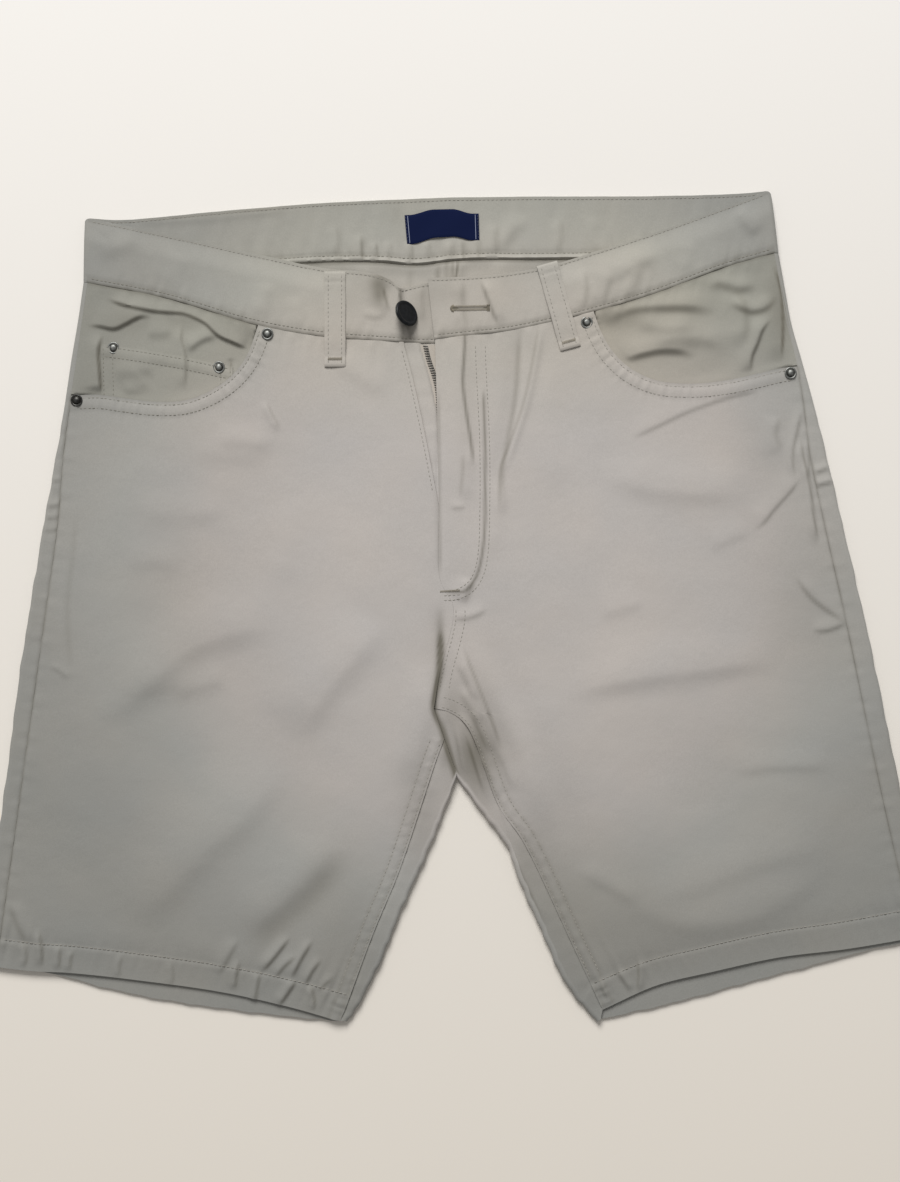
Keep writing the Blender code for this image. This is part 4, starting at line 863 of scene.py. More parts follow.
def damaskMaterial(name):
    # navy satin weave with fine cross ribs in its colour and its bump
    material, nodes, links, shader, place = newMaterial(name, 0.8)
    weave = nodes.new("ShaderNodeTexWave")
    weave.bands_direction = "Y"
    weave.inputs["Scale"].default_value = 2 * math.pi / 20 / 0.0005
    links.new(place, weave.inputs["Vector"])
    stops = [(0.2, (0.004, 0.008, 0.034)), (0.8, (0.007, 0.012, 0.050))]
    links.new(ramped(nodes, links, weave.outputs["Fac"], stops), shader.inputs["Base Color"])
    ribs = nodes.new("ShaderNodeBump")
    ribs.inputs["Strength"].default_value = 0.5
    ribs.inputs["Distance"].default_value = 0.00008
    links.new(weave.outputs["Fac"], ribs.inputs["Height"])
    links.new(ribs.outputs["Normal"], shader.inputs["Normal"])
    shader.inputs["Specular IOR Level"].default_value = 0.05
    return material


def floorMaterial(name, near, far, reach=0.42):
    # matt paper, with a painted falloff of light: warmer and a little darker towards the hems
    material, nodes, links, shader, place = newMaterial(name, 0.9)
    split = nodes.new("ShaderNodeSeparateXYZ")
    links.new(place, split.inputs["Vector"])
    share = nodes.new("ShaderNodeMapRange")
    share.inputs["From Min"].default_value = -reach
    share.inputs["From Max"].default_value = reach
    links.new(split.outputs["Y"], share.inputs["Value"])
    stops = [(0.0, near), (1.0, far)]
    links.new(ramped(nodes, links, share.outputs["Result"], stops), shader.inputs["Base Color"])
    return material


twill = twillMaterial("beigeTwill")
twillInside = twillMaterial("beigeTwillInside", (0.905, 0.905, 0.86))
tapeWeave = twillMaterial("zipTape", (1.02, 0.99, 0.96))
thread = threadMaterial("beigeThread", (0.30, 0.285, 0.255))
# the beige thread darkened, the darkening painted shade of its stitch holes; it sews the band, the right mouth and
# the coin pocket
bandThread = threadMaterial("darkerThread", (0.20, 0.19, 0.16))
tackThread = threadMaterial("brownThread", (0.21, 0.185, 0.14))
whiteThread = threadMaterial("whiteThread", (0.25, 0.28, 0.38))
navyThread = threadMaterial("navyThread", (0.012, 0.018, 0.05))
nickel = metalMaterial("antiqueNickel", (0.17, 0.175, 0.17), (0.33, 0.34, 0.325), 0.46)
darkNickel = metalMaterial("darkNickel", (0.03, 0.03, 0.03), (0.09, 0.09, 0.087), 0.42)
enamel = enamelMaterial("blackEnamel")
damask = damaskMaterial("navyDamask")
floorPaper = floorMaterial("palePaper", (0.79, 0.74, 0.67), (0.80, 0.785, 0.765))
print("materials made")


# ---- fronts and backs


def legRows(length):
    hem = cloth["hemDepth"] / length
    upper = np.linspace(0, 1 - hem, rowCount["leg"] + 1)
    return np.concatenate([upper, np.linspace(1 - hem, 1, rowCount["hem"] + 1)[1:]])


def legLines(name):
    # every line that the front and the back of a leg share, row by row
    this = leg[name]
    extra = rowCount["extra"] if name == "right" else 0
    hip = np.linspace(this["outer"][0][0], this["pocketEnd"], rowCount["hip"] + 1)
    seatRows = rowCount["fly"] + rowCount["seat"] + extra
    seat = np.linspace(this["pocketEnd"], this["crotch"], seatRows + 1)
    hem = this["outer"][-1][0]
    lower = this["crotch"] + (hem - this["crotch"]) * legRows(this["crotch"] - hem)
    heights = np.concatenate([hip, seat[1:], lower[1:]])
    table = np.array(this["outer"])
    fold, seam = smoothLine(table[:, [1, 0]]), smoothLine(table[:, [2, 0]])
    inseam = smoothLine(this["inseam"])
    innerFold = smoothLine(this["innerFold"])
    run = np.gradient(atFractions(innerFold, legRows(runOf(innerFold)[-1])), axis=0)
    square = np.column_stack([run[:, 1], -run[:, 0]]) * this["side"]
    angle = np.arctan2(square[:, 1], square[:, 0])
    swing = ramp(np.linspace(0, 1, len(angle)) / 0.3)
    angle = -np.pi / 2 + ((angle + np.pi / 2 + np.pi) % (2 * np.pi) - np.pi) * swing
    hemRow = len(heights) - rowCount["hem"] - 1
    lift = ramp((np.arange(len(heights)) - hemRow + 1) / 3) * (cloth["hem"] - cloth["ply"])
    wavy = this["side"] * 0.45 * ripple(heights, 26, this["side"]) * ramp((150 - heights) / 60)
    innerEdge = atFractions(innerFold, legRows(runOf(innerFold)[-1]))
    run = runOf(innerEdge)
    scallop = 0.6 * ripple(run, 14, 2 + this["side"]) * ramp(run / 20) * ramp((run[-1] - run) / 12)
    innerEdge = innerEdge + square * (scallop / np.linalg.norm(square, axis=1))[:, None]
    return {
        "side": this["side"], "heights": heights, "crotchRow": rowCount["hip"] + seatRows,
        "fold": np.column_stack([np.interp(-heights, -fold[:, 1], fold[:, 0]) + wavy, heights]),
        "seam": np.column_stack([np.interp(-heights, -seam[:, 1], seam[:, 0]), heights]),
        "inseam": atFractions(inseam, legRows(runOf(inseam)[-1])),
        "innerFold": innerEdge,
        "outward": np.column_stack([np.cos(angle), np.sin(angle)]),
        "hemRow": hemRow, "hemLift": lift,
    }


def waistLine(table, column=1):
    return [(row[0], row[column]) for row in table]


def frontPlan(name, lines):
    # the panel filled in between mouth and waist seam, side seam, centre and hem
    this, side, hip = leg[name], lines["side"], rowCount["hip"]
    gap = cloth["gap"]
    seam = lines["seam"][hip:] - (side * gap / 2, 0)
    shared = evenly(centreFront, rowCount["seat"])
    fly = evenly(this["flyEdge"], rowCount["fly"])
    extra = np.empty((0, 2))
    if name == "right":
        extra = straight(shared[-1], lines["inseam"][0], rowCount["extra"])[1:]
    centre = np.vstack([fly, shared[1:], extra]) + (side * gap / 2, 0)
    waist = waistLine(band[name])
    mouthTop = atX(waist, [this["mouth"][-1][0]])[0]
    mouth = evenly([tuple(seam[0]), *this["mouth"][1:-1], tuple(mouthTop)], columnCount["mouth"])
    waistX = np.linspace(mouth[-1, 0], centre[0, 0], columnCount["waist"] + 1)
    top = np.vstack([mouth, atX(waist, waistX)[1:]]) - (0, gap / 2)
    top[0] = seam[0]
    centre[0] = top[-1]
    seatRows = lines["crotchRow"] - hip
    inseam = lines["inseam"] - lines["outward"] * gap / 2
    inseam[0] = centre[-1]
    columns = columnCount["mouth"] + columnCount["waist"]
    middle = straight(seam[seatRows], centre[-1], columns)
    hem = evenly([tuple(seam[-1]), *this["hemFront"][1:-1], tuple(inseam[-1])], columns)
    upper = patch(top, middle, seam[: seatRows + 1], centre)
    lower = patch(middle, hem, seam[seatRows:], inseam)
    return np.vstack([upper, lower[1:]])


def makeFront(name, lines):
    plan = softCorner(frontPlan(name, lines), name)
    hip = rowCount["hip"]
    top, shade = frontTop(plan, name)
    row = np.arange(len(plan))[:, None] - (lines["hemRow"] - hip)
    wide = np.linalg.norm(plan[-1, 0] - plan[-1, -1])
    run = np.linspace(0, 1, plan.shape[1])[None, :] * wide
    ends = bell(run, 26) + bell(wide - run, 34)
    patchy = 0.45 + 0.35 * ripple(run, 67, 4) + 1.4 * ends
    reach = np.where(row > 0, 9.0, 4.0 + 7 * ends)
    lean = run + row * 0.12
    pucker = patchy * bell(row - 2, reach) * ripple(lean, seamLook["hemWave"], 11)
    top = top + seamLook["hemPucker"] * pucker
    top = top - 0.15 * bell(row, 0.9) + lines["hemLift"][hip:, None]
    lower = np.maximum(top - cloth["ply"] - lines["hemLift"][hip:, None], cloth["lowestFront"])
    piece = shell(f"front{name.capitalize()}Cloth", lifted(plan, top), lifted(plan, lower), twill, None, shade)
    return piece, plan, top


def turned(topCentre, underCentre, outward, top, thick, angles):
    # half an ellipse from the upper layer to the ground, row by row
    sine, cosine = np.sin(angles)[None, :, None], np.cos(angles)[None, :, None]
    centre = underCentre[:, None] + (topCentre - underCentre)[:, None] * (1 + sine) / 2
    half, thick = (top / 2)[:, None], thick[:, None]
    outer = centre + outward[:, None] * cloth["foldReach"] * cosine
    inner = centre + outward[:, None] * (cloth["foldReach"] - thick[..., None]) * cosine
    return (lifted(outer, half + half * sine[..., 0]), lifted(inner, half + (half - thick) * sine[..., 0]))


def softCorner(xy, name):
    # the inner corner of the hem, drawn in towards the leg so that it is blunt
    corner = leg[name]["innerFold"][-1]
    away = np.hypot(xy[..., 0] - corner[0], xy[..., 1] - corner[1])
    pull = leg[name]["cornerPull"] * bell(away, cloth["cornerReach"])
    return xy + pull[..., None] * np.array([0.5 * leg[name]["side"], 0.86])


def flapTop(xy, name, seam, dark=1.0):
    # upper face of what the back panel shows beyond a seam, whose line is as dark as it says
    across, along = nearest(xy, seam)
    folds, shade = relief(xy, creases["flap" + name.capitalize()])
    z = frontBase(xy, name) + cloth["ply"] + folds
    sewn = ramp((leg[name]["pocketEnd"] + 3 - xy[..., 1]) / 8)
    z = z - seamLook["sideDip"] * bell(across, seamLook["sideReach"]) * sewn
    z = z + seamLook["sidePucker"] * ripple(along, seamLook["sideWave"], 9) * bell(across, 7) * sewn
    return z, np.minimum(shade + softShade(xy) + foldShade(xy) + dark * sideShade(across, along) * sewn, 0.92)


def makeBack(name, lines):
    # side flap, round the outer fold, along the ground, and below the crotch round the inner fold
    side, crotch, gap = lines["side"], lines["crotchRow"], cloth["gap"]
    rows = len(lines["heights"])
    angles = np.radians(np.linspace(90, -90, columnCount["turn"] + 1))
    outward = np.tile([float(side), 0.0], (rows, 1))
    centre = lines["fold"] - outward * cloth["foldReach"]
    topCentre, underCentre = centre.copy(), centre.copy()
    topCentre[0] = atX(waistLine(band[name]), centre[:1, 0])[0] - (0, gap / 2)
    underCentre[0] = atX(waistLine(band["back"]), centre[:1, 0])[0] - (0, gap / 2)
    seam = lines["seam"] + outward * gap / 2
    seam[:, 0] = side * np.minimum(np.abs(seam[:, 0]), np.abs(topCentre[:, 0]) - gap)
    seam[0, 1] = topCentre[0, 1]
    thick = cloth["ply"] + lines["hemLift"]
    flap = np.stack([straight(s, c, columnCount["flap"]) for s, c in zip(seam, topCentre)])
    flapZ, flapShade = flapTop(flap, name, lines["seam"][::6])
    flapZ = flapZ + lines["hemLift"][:, None]
    outTurn, inTurn = turned(topCentre, underCentre, outward, flapZ[:, -1], thick, angles)

    innerFold = lines["innerFold"].copy()
    innerFold[0, 0] = side * gap / 2
    innerCentre = innerFold - lines["outward"] * cloth["foldReach"]
    share = 1 - (1 - np.linspace(0, 1, columnCount["under"] + 1)) ** 1.5
    waistX = underCentre[0, 0] + (side * gap / 2 - underCentre[0, 0]) * share
    waist = atX(waistLine(band["back"]), waistX) - (0, gap / 2)
    crotchLine = atFractions(np.stack([underCentre[crotch], innerCentre[0]]), share)
    centreBack = straight(waist[-1], innerCentre[0], crotch)
    hemMiddle = leg[name]["hemBack"][1:-1]
    hem = atFractions(smoothLine([tuple(underCentre[-1]), *hemMiddle, tuple(innerCentre[-1])]), share)
    hem[1:-1, 1] += 0.6 * ripple(hem[1:-1, 0], 19, side)
    seat = patch(waist, crotchLine, underCentre[: crotch + 1], centreBack)
    lower = patch(crotchLine, hem, underCentre[crotch:], innerCentre)
    ground = np.vstack([seat, lower[1:]])
    seatZ, seatShade = relief(ground, creases["seat"])
    below = np.abs(nearest(ground, smoothLine(waistLine(band["back"]), 6))[0])
    seatZ = seatZ + cloth["seatRise"] * (1 - ramp(below / 8))
    # painted shadow of the band's lower edge on the seat
    seatShade = np.minimum(seatShade + 0.6 * bell(below, 0.9), 0.9)

    inseam = lines["inseam"] + lines["outward"] * gap / 2
    inseam[0] = lines["inseam"][0] + (side * gap / 2, -gap)
    innerFlap = np.stack([straight(c, s, columnCount["flap"]) for c, s in zip(innerCentre, inseam)])
    innerLift = lines["hemLift"][crotch:]
    innerZ, innerShade = flapTop(innerFlap, name, lines["inseam"][::4], leg[name]["inseamDark"])
    innerZ = innerZ + innerLift[:, None] + centreLift(innerFlap, name)
    innerThick = thick[crotch:]
    outInner, inInner = turned(
        innerCentre, innerCentre, lines["outward"], innerZ[:, 0], innerThick, -angles
    )
    filler = np.zeros((crotch, columnCount["turn"] + columnCount["flap"], 3))
    upperSide = np.concatenate([lifted(flap, flapZ)[:, :-1], outTurn], 1)
    lowerSide = np.concatenate([lifted(flap, flapZ - thick[:, None])[:, :-1], inTurn], 1)
    innerUp = np.concatenate([outInner[:, 1:], lifted(innerFlap, innerZ)[:, 1:]], 1)
    innerLow = np.concatenate([inInner[:, 1:], lifted(innerFlap, innerZ - innerThick[:, None])[:, 1:]], 1)
    outer = np.concatenate([upperSide, lifted(ground, 0)[:, 1:], np.vstack([filler, innerUp])], 1)
    inner = np.concatenate(
        [lowerSide, lifted(ground, thick[:, None] + seatZ)[:, 1:], np.vstack([filler, innerLow])], 1)
    cells = np.ones((rows - 1, outer.shape[1] - 1), bool)
    cells[:crotch, outer.shape[1] - filler.shape[1] - 1 :] = False
    outer[..., :2] = softCorner(outer[..., :2], name)
    inner[..., :2] = softCorner(inner[..., :2], name)
    shade = np.zeros(outer.shape[:2])
    shade[:, : flap.shape[1]] = flapShade
    shade[crotch:, -innerFlap.shape[1] + 1 :] = innerShade[:, 1:]
    inside = shade.copy()
    inside[:, upperSide.shape[1] : upperSide.shape[1] + ground.shape[1] - 1] = seatShade[:, 1:]
    piece = shell(f"back{name.capitalize()}Cloth", outer, inner, twill, cells, shade, inside)
    return piece, ground


lines = {name: legLines(name) for name in leg}
frontPieces, frontPlans, backPieces = {}, {}, {}
for name in ("right", "left"):
    frontPieces[name], frontPlans[name], _ = makeFront(name, lines[name])
    backPieces[name], _ = makeBack(name, lines[name])
    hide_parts(f"front_{name}")
    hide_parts(f"back_{name}")
print("fronts and backs made")


# ---- waistband


def bandDetail(plan, depth, height, rows, seed, sewn):
    # stitched in along both edges, a little wavy, with its own creases; depth is from the seam
    # and sewn is how far from it the stitches lie
    z, shade = relief(plan, rows)
    run = runOf(plan[:, 0])[:, None]
    uneven = np.clip(0.75 + 0.8 * ripple(run, 61, seed), 0.2, 1.5)
    pucker = 0.5 * uneven * ripple(run + 0.2 * depth, 7.4, seed) * bell(depth - 3, 8) * ramp(depth / 3)
    z = z - 0.4 * bell(depth - sewn, 0.9) + pucker
    z = z + 0.15 * ripple(run, 9, seed) * bell(height - depth - 3, 5)
    z = z + 0.3 * ripple(run + 0.25 * depth, 47, seed + 2) + 0.2 * ripple(run - 0.4 * depth, 17, seed + 5)
    # painted shade: dark lines along the stitch row, at the seam and under the top edge, and in the puckers beside
    # the stitches
    shade = shade + 0.24 * bell(depth - sewn, 0.8) + 0.5 * bell(depth, 0.8) + softShade(plan)
    shade = shade + 0.10 * (1 + ripple(run + 0.2 * depth, 7.4, seed)) * bell(depth - sewn, 5) * uneven
    shade = shade + 0.2 * bell(height - depth - 1.2, 0.9)
    return z - 0.7 * (1 - ramp(depth / 2.0)), np.minimum(shade, 0.85)


def makeWaistband():
    # one strip: button end, right front, right fold, inside back, left fold, buttonhole end
    reach, gap, thick = cloth["foldReach"], cloth["gap"], cloth["band"]
    rightLow, rightHigh = (x + reach for x in band["foldRight"])
    leftLow, leftHigh = (x - reach for x in band["foldLeft"])
    step = band["stepEnd"] - band["stepStart"]
    across = columnCount["band"]
    stretches = []

    def stretch(key, lowX, topX, level, rows, inside, seed):
        low = atX(waistLine(band[key]), lowX) + (0, gap / 2)
        high = atX(waistLine(band[key], 2), topX)
        plan = np.stack([straight(a, b, across) for a, b in zip(low, high)])
        height = np.linalg.norm(high - low, axis=1)[:, None]
        depth = np.linspace(0, 1, across + 1)[None, :] * height
        detail, shade = bandDetail(plan, depth, height, rows, seed, band["sewnInside" if inside else "sewn"])
        if inside:
            run = runOf(low)[:, None]
            ridge = 0.9 * bell(depth - 1.6, 1.4) + 0.15 * ripple(run, 23, 4)
            ridge = ridge + 0.45 * ripple(run, 12, 8) * bell(depth - 8, 7)
            face, hidden = lifted(plan, thick + detail + ridge), lifted(plan, 0)
            stretches.append((plan, hidden, face, shade))
        else:
            onBack = ramp((np.abs(plan[..., 0] + 10) - 50) / 30)
            near = (1 - ramp((height - depth) / 16)) * onBack
            top = level[:, None] + thick + detail - band["topSink"] * near
            lower = np.maximum(top - thick, 1.45 + 1.2 * near)
            stretches.append((plan, lifted(plan, top), lifted(plan, lower), shade))

    x = np.linspace(band["buttonEnd"], rightLow, columnCount["bandFront"] + 1)
    share = (x - x[0]) / (x[-1] - x[0])
    drop = ramp((x - band["stepStart"]) / step)
    level = cloth["bandLevel"] - (cloth["bandLevel"] - cloth["shieldLevel"]) * drop
    stretch("right", x, x[0] + (rightHigh - x[0]) * share, level, creases["bandRight"], False, 1)
    share = np.linspace(0, 1, columnCount["bandBack"] + 1)
    stretch("back", rightLow + (leftLow - rightLow) * share, rightHigh + (leftHigh - rightHigh) * share,
            None, creases["bandBack"], True, 2)
    share = np.linspace(0, 1, columnCount["bandLeft"] + 1)
    endLow, endHigh = band["buttonholeLow"], band["buttonholeHigh"]
    stretch("left", leftLow + (endLow - leftLow) * share, leftHigh + (endHigh - leftHigh) * share,
            np.full(len(share), cloth["bandLevel"]), creases["bandLeft"], False, 3)

    # painted shade for the upper and the lower grid of each stretch; the inside back shows its lower grid, and the
    # folds get none
    outer, inner, paintedShadeAndPatina, innerPaintedShade = [], [], [], []
    angles = np.radians(np.linspace(90, -90, columnCount["turn"] + 1))
    for index, (plan, out, into, shade) in enumerate(stretches):
        outer.append(out)
        inner.append(into)
        paintedShadeAndPatina.append(shade * (index != 1))
        innerPaintedShade.append(shade)
        if index < 2:
            following = stretches[index + 1][0]
            here, there = plan[-1], following[0]
            topCentre, underCentre = (here, there) if index == 0 else (there, here)
            outward = np.tile([-1.0 if index == 0 else 1.0, 0.0], (across + 1, 1))
            topZ = (out[-1] if index == 0 else stretches[2][1][0])[:, 2]
            turn = angles if index == 0 else -angles
            outTurn, inTurn = turned(
                topCentre, underCentre, outward, topZ, np.full(across + 1, thick), turn)
            corner = ramp((np.linspace(0, 1, across + 1) - 0.86) / 0.14)[:, None] * np.cos(turn)[None, :] ** 2
            for grid in (outTurn, inTurn):
                grid[..., 1] -= band["cornerRound"] * corner
            outer.append(np.swapaxes(outTurn, 0, 1)[1:-1])
            inner.append(np.swapaxes(inTurn, 0, 1)[1:-1])
            paintedShadeAndPatina.append(np.zeros(inner[-1].shape[:2]))
            innerPaintedShade.append(paintedShadeAndPatina[-1])
    piece = shell("waistbandCloth", np.vstack(outer), np.vstack(inner), twill, None, np.vstack(paintedShadeAndPatina),
                  np.vstack(innerPaintedShade))
    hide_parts("waistband")
    return piece, stretches


waistband, bandStretches = makeWaistband()
print("waistband made")


# ---- pockets

facing = {
    "right": {"x": (-244, -116), "bottom": [(-244, 118), (-224.6, 113), (-180, 109), (-141, 117), (-116, 132)]},
    "left": {"x": (216, 78), "bottom": [(216, 136), (190, 129), (150, 122), (110, 126), (78, 142)]},
    "columns": 110, "rows": 84,
    "coinTop": [(-244, 168.5), (-224.6, 166.3), (-180, 159.5), (-141, 151.7), (-116, 147.5)],
    "coinLeft": -224.6, "coinRight": -141.6, "coinColumns": 62, "coinRows": 40,
}


def makeFacing(name):
    # from the waist seam down past the mouth, its outer edge along the side seam
    this, side = facing[name], lines[name]["side"]
    waist = waistLine(band[name])
    share = np.linspace(0, 1, facing["columns"] + 1)
    reach, heights = this["x"][1], lines[name]["heights"]

    def across(points):
        y = atX(points, [this["x"][0]])[0, 1]
        start = np.interp(-y, -heights, lines[name]["seam"][:, 0]) + side * 0.4
        return atX(points, start + (reach - start) * share)

    top, low = across(waist) - (0, cloth["gap"] / 2), across(this["bottom"])
    plan = np.stack([straight(a, b, facing["rows"]) for a, b in zip(top, low)], 1)
    z, shade = facingTop(plan, name)
    piece = shell(f"facing{name.capitalize()}", lifted(plan, z),
                  lifted(plan, np.maximum(z - cloth["ply"], 1.3)), twillInside, None, shade)
    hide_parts(f"pocket_facing_{name}")
    return piece


def coinTop(xy):
    # the coin pocket follows its facing, one ply higher, doubled along its top edge
    edge = smoothLine(facing["coinTop"], 6)
    across, along = nearest(xy, edge)
    inside = np.abs(across)
    z, shade = facingTop(xy, "right")
    z = z + cloth["ply"] * 0.5 + stitchedPly(inside, 1.6, 7.6, 0.3) - 0.35 * (1 - ramp(inside / 1.4))
    z = z + 0.16 * ripple(along, 7.0, 3) * bell(inside - 4, 5)
    rightWay = facing["coinRight"] - xy[..., 0]
    leftWay = xy[..., 0] - facing["coinLeft"]
    for way in (rightWay, leftWay):
        z = z - 0.25 * bell(way - 1.6, 0.8) - 0.2 * bell(way - 7.5, 0.8)
    return z, shade


def makeCoinPocket():
    x = np.linspace(facing["coinLeft"], facing["coinRight"], facing["coinColumns"] + 1)
    top, low = atX(facing["coinTop"], x), atX(facing["right"]["bottom"], x)
    plan = np.stack([straight(a, b, facing["coinRows"]) for a, b in zip(top, low)], 1)
    z, shade = coinTop(plan)
    piece = shell("coinPocketCloth", lifted(plan, z), lifted(plan, z - 0.8), twillInside, None, shade)
    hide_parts("coin_pocket")
    return piece


facingPieces = {name: makeFacing(name) for name in ("right", "left")}
coinPocket = makeCoinPocket()
print("pockets made")

# ---- open fly

fly = {
    "foldB": [(-24.4, 167), (-18.1, 146), (-14.9, 132.1), (-12.6, 118.7), (-12.2, 99.7), (-12, 12)],
    "rows": 90, "columns": 34, "left": -37.0, "right": 2.0, "top": 166.9, "bottom": 12.0,
    "stripTop": 5.45, "wellTop": 2.7,
    "tapeEdge": [(-19.8, 165.6), (-17.5, 156), (-14.4, 147), (-12.2, 138), (-11.2, 120), (-11, 30)],
    "tapeWidth": 10.0, "toothPitch": 1.6, "toothSize": (3.2, 0.7, 0.8),
}


def flyLineX(points, y):
    line = smoothLine(points)
    return np.interp(-y, -line[:, 1], line[:, 0])


def makeShield():
    # the underlap: it rises to a folded strip beside the zip and drops into the well behind it
    y = np.linspace(fly["top"], fly["bottom"], fly["rows"] + 1)
    foldX = flyLineX(fly["foldB"], y)[:, None]
    left = np.interp(-y, [-166.3, -60, -12], [fly["left"], -25, -17])[:, None]
    share = np.linspace(0, 1, fly["columns"] + 1)[None, :]
    x = left + (fly["right"] - left) * share
    edgeX = flyLineX(leg["right"]["flyEdge"], np.maximum(y, flyBottom[1]))[:, None]
    strip = fly["stripTop"] - 1.3 * ramp((edgeX + 0.7 - x) / 1.4)
    strip = strip - 0.6 * bell(x - foldX, 0.9)
    well = fly["wellTop"] + 2.2 * ramp((125 - y[:, None]) / 45)
    z = well + (strip - well) * (1 - ramp((x - foldX) / 1.6))
    z = z + 0.15 * ripple(y[:, None], 14, 5)
    plan = np.stack([x, np.broadcast_to(y[:, None], x.shape)], -1)
    piece = shell("flyShieldCloth", lifted(plan, z), lifted(plan, np.maximum(z - 1.0, 1.45)), twill)
    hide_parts("fly_shield")
    return piece


def makeTape(name, edge, width, side):
    y = np.linspace(165.6, 30, 71)
    edgeX = flyLineX(edge, y)[:, None]
    share = np.linspace(0, 1, 9)[None, :]
    x = edgeX - side * width * share
    z = 3.75 - 0.12 * bell(share * width - 3.6, 0.7) + np.zeros_like(x)
    plan = np.stack([x, np.broadcast_to(y[:, None], x.shape)], -1)
    piece = shell(name, lifted(plan, z), lifted(plan, z - 0.6), tapeWeave)
    return piece


def makeTeeth():
    # rounded bars along the tape's edge, each a stretched ring of eight points in five steps
    line = smoothLine(fly["tapeEdge"])
    count = int(runOf(line)[-1] / fly["toothPitch"])
    centre = atRun(line, (np.arange(count) + 0.5) * fly["toothPitch"])
    run = np.gradient(centre, axis=0)
    run /= np.linalg.norm(run, axis=1, keepdims=True)
    long, wide, high = fly["toothSize"]
    step = np.array([-0.5, -0.4, 0.0, 0.4, 0.5]) * long
    fat = np.array([0.55, 0.9, 1.0, 0.9, 0.55])
    angle = np.linspace(0, 2 * np.pi, 8, endpoint=False) + np.pi / 8
    side = np.column_stack([-run[:, 1], run[:, 0]])
    slant = side * 0.94 + run * 0.34
    points = (centre[:, None, None] + slant[:, None, None] * step[None, :, None, None]
              + run[:, None, None] * (np.cos(angle) * wide / 2)[None, None, :, None] * fat[None, :, None, None])
    z = 3.95 + np.sin(angle)[None, None, :] * high / 2 * fat[None, :, None]
    points = lifted(points, np.broadcast_to(z, points.shape[:3])).reshape(-1, 3)
    ring = np.arange(5 * 8).reshape(5, 8)
    following = np.roll(ring, -1, 1)
    body = np.stack([ring[:-1], following[:-1], following[1:], ring[1:]], -1).reshape(-1, 4)
    caps = [[ring[e][k], ring[e][k + 1], ring[e][k + 2], ring[e][(k + 3) % 8]]
            for e, ks in ((0, (0,)), (4, (0,))) for k in ks]
    caps += [[ring[e][0], ring[e][3], ring[e][4], ring[e][7]] for e in (0, 4)]
    caps += [[ring[e][4], ring[e][5], ring[e][6], ring[e][7]] for e in (0, 4)]
    caps = [c if i % 2 else c[::-1] for i, c in enumerate(caps)]
    one = np.vstack([body, caps])
    faces = (one[None] + (np.arange(count) * 40)[:, None, None]).reshape(-1, 4)
    piece = makeMesh("zipTeeth", points, outwardFaces(points, faces), darkNickel)
    return piece


shield = makeShield()
zipRight = makeTape("zipTapeRight", fly["tapeEdge"], fly["tapeWidth"], 1)
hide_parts("zip_tape_right")
zipLeft = makeTape("zipTapeLeft", [(x + 1.6, y) for x, y in fly["tapeEdge"]], fly["tapeWidth"], -1)
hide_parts("zip_tape_left")
teeth = makeTeeth()
print("fly made")


# ---- belt loops and label

loops = {
    "right": [(-76.6, 211.6), (-76.6, 151.6)],
    "left": [(56.9, 216.6), (71.9, 163.2)],
    "width": 13.2, "columns": 18, "rows": 60,
    # share of the length, height of the underside
    "heights": [(0, 6.2), (0.1, 6.6), (0.3, 7.0), (0.5, 7.1), (0.66, 7.0), (0.74, 6.8), (0.84, 6.2), (1, 5.9)],
    "thick": 1.0,
}


def loopTop(share, across):
    # height along the loop, bulging over the band seam, thick where its ends are folded under
    table = np.array(loops["heights"])
    z = np.interp(share, table[:, 0], table[:, 1]) + loops["thick"]
    for end in (share, 1 - share):
        z = z + 0.3 * (1 - ramp((end - 0.09) / 0.03)) - 0.5 * (1 - ramp(end / 0.02))
        z = z - 0.25 * bell(end - 0.1, 0.016)
    for line in (-4.2, 4.2):
        z = z - 0.12 * bell(across - line, 0.8)
    edge = loops["width"] / 2 - np.abs(across)
    return z - 0.4 * (1 - ramp(edge / 1.4)) + 0.15 * ripple(share * 60, 13, 2) * bell(np.abs(across) - 4.2, 3)


def makeLoop(name):
    start, end = (np.array(p) for p in loops[name])
    length = np.linalg.norm(end - start)
    run = (end - start) / length
    sideways = np.array([-run[1], run[0]])
    share = np.linspace(0, 1, loops["rows"] + 1)[:, None]
    across = np.linspace(-0.5, 0.5, loops["columns"] + 1)[None, :] * loops["width"]
    across = across * (1 + 0.015 * ripple(share * length, 21, 1))
    plan = start + (share * length)[..., None] * run + across[..., None] * sideways
    z = loopTop(share, across)
    piece = shell(f"loop{name.capitalize()}Cloth", lifted(plan, z), lifted(plan, z - 0.9), twill)
    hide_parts(f"belt_loop_{name}")
    return piece, (start, run, sideways, length)


loopPieces, loopFrames = {}, {}
for name in ("right", "left"):
    loopPieces[name], loopFrames[name] = makeLoop(name)

label = {
    "topLeft": (-32.9, 248.0), "topRight": (14.0, 249.0),
    "lowLeft": (-31.3, 229.6), "lowRight": (14.5, 232.2),
    "bow": 3.1, "rises": (0.07, 0.40), "falls": (0.64, 0.92),
    "columns": 60, "rows": 24, "level": 3.1, "lines": (0.04, 0.952), "lineHalf": 0.0035,
}


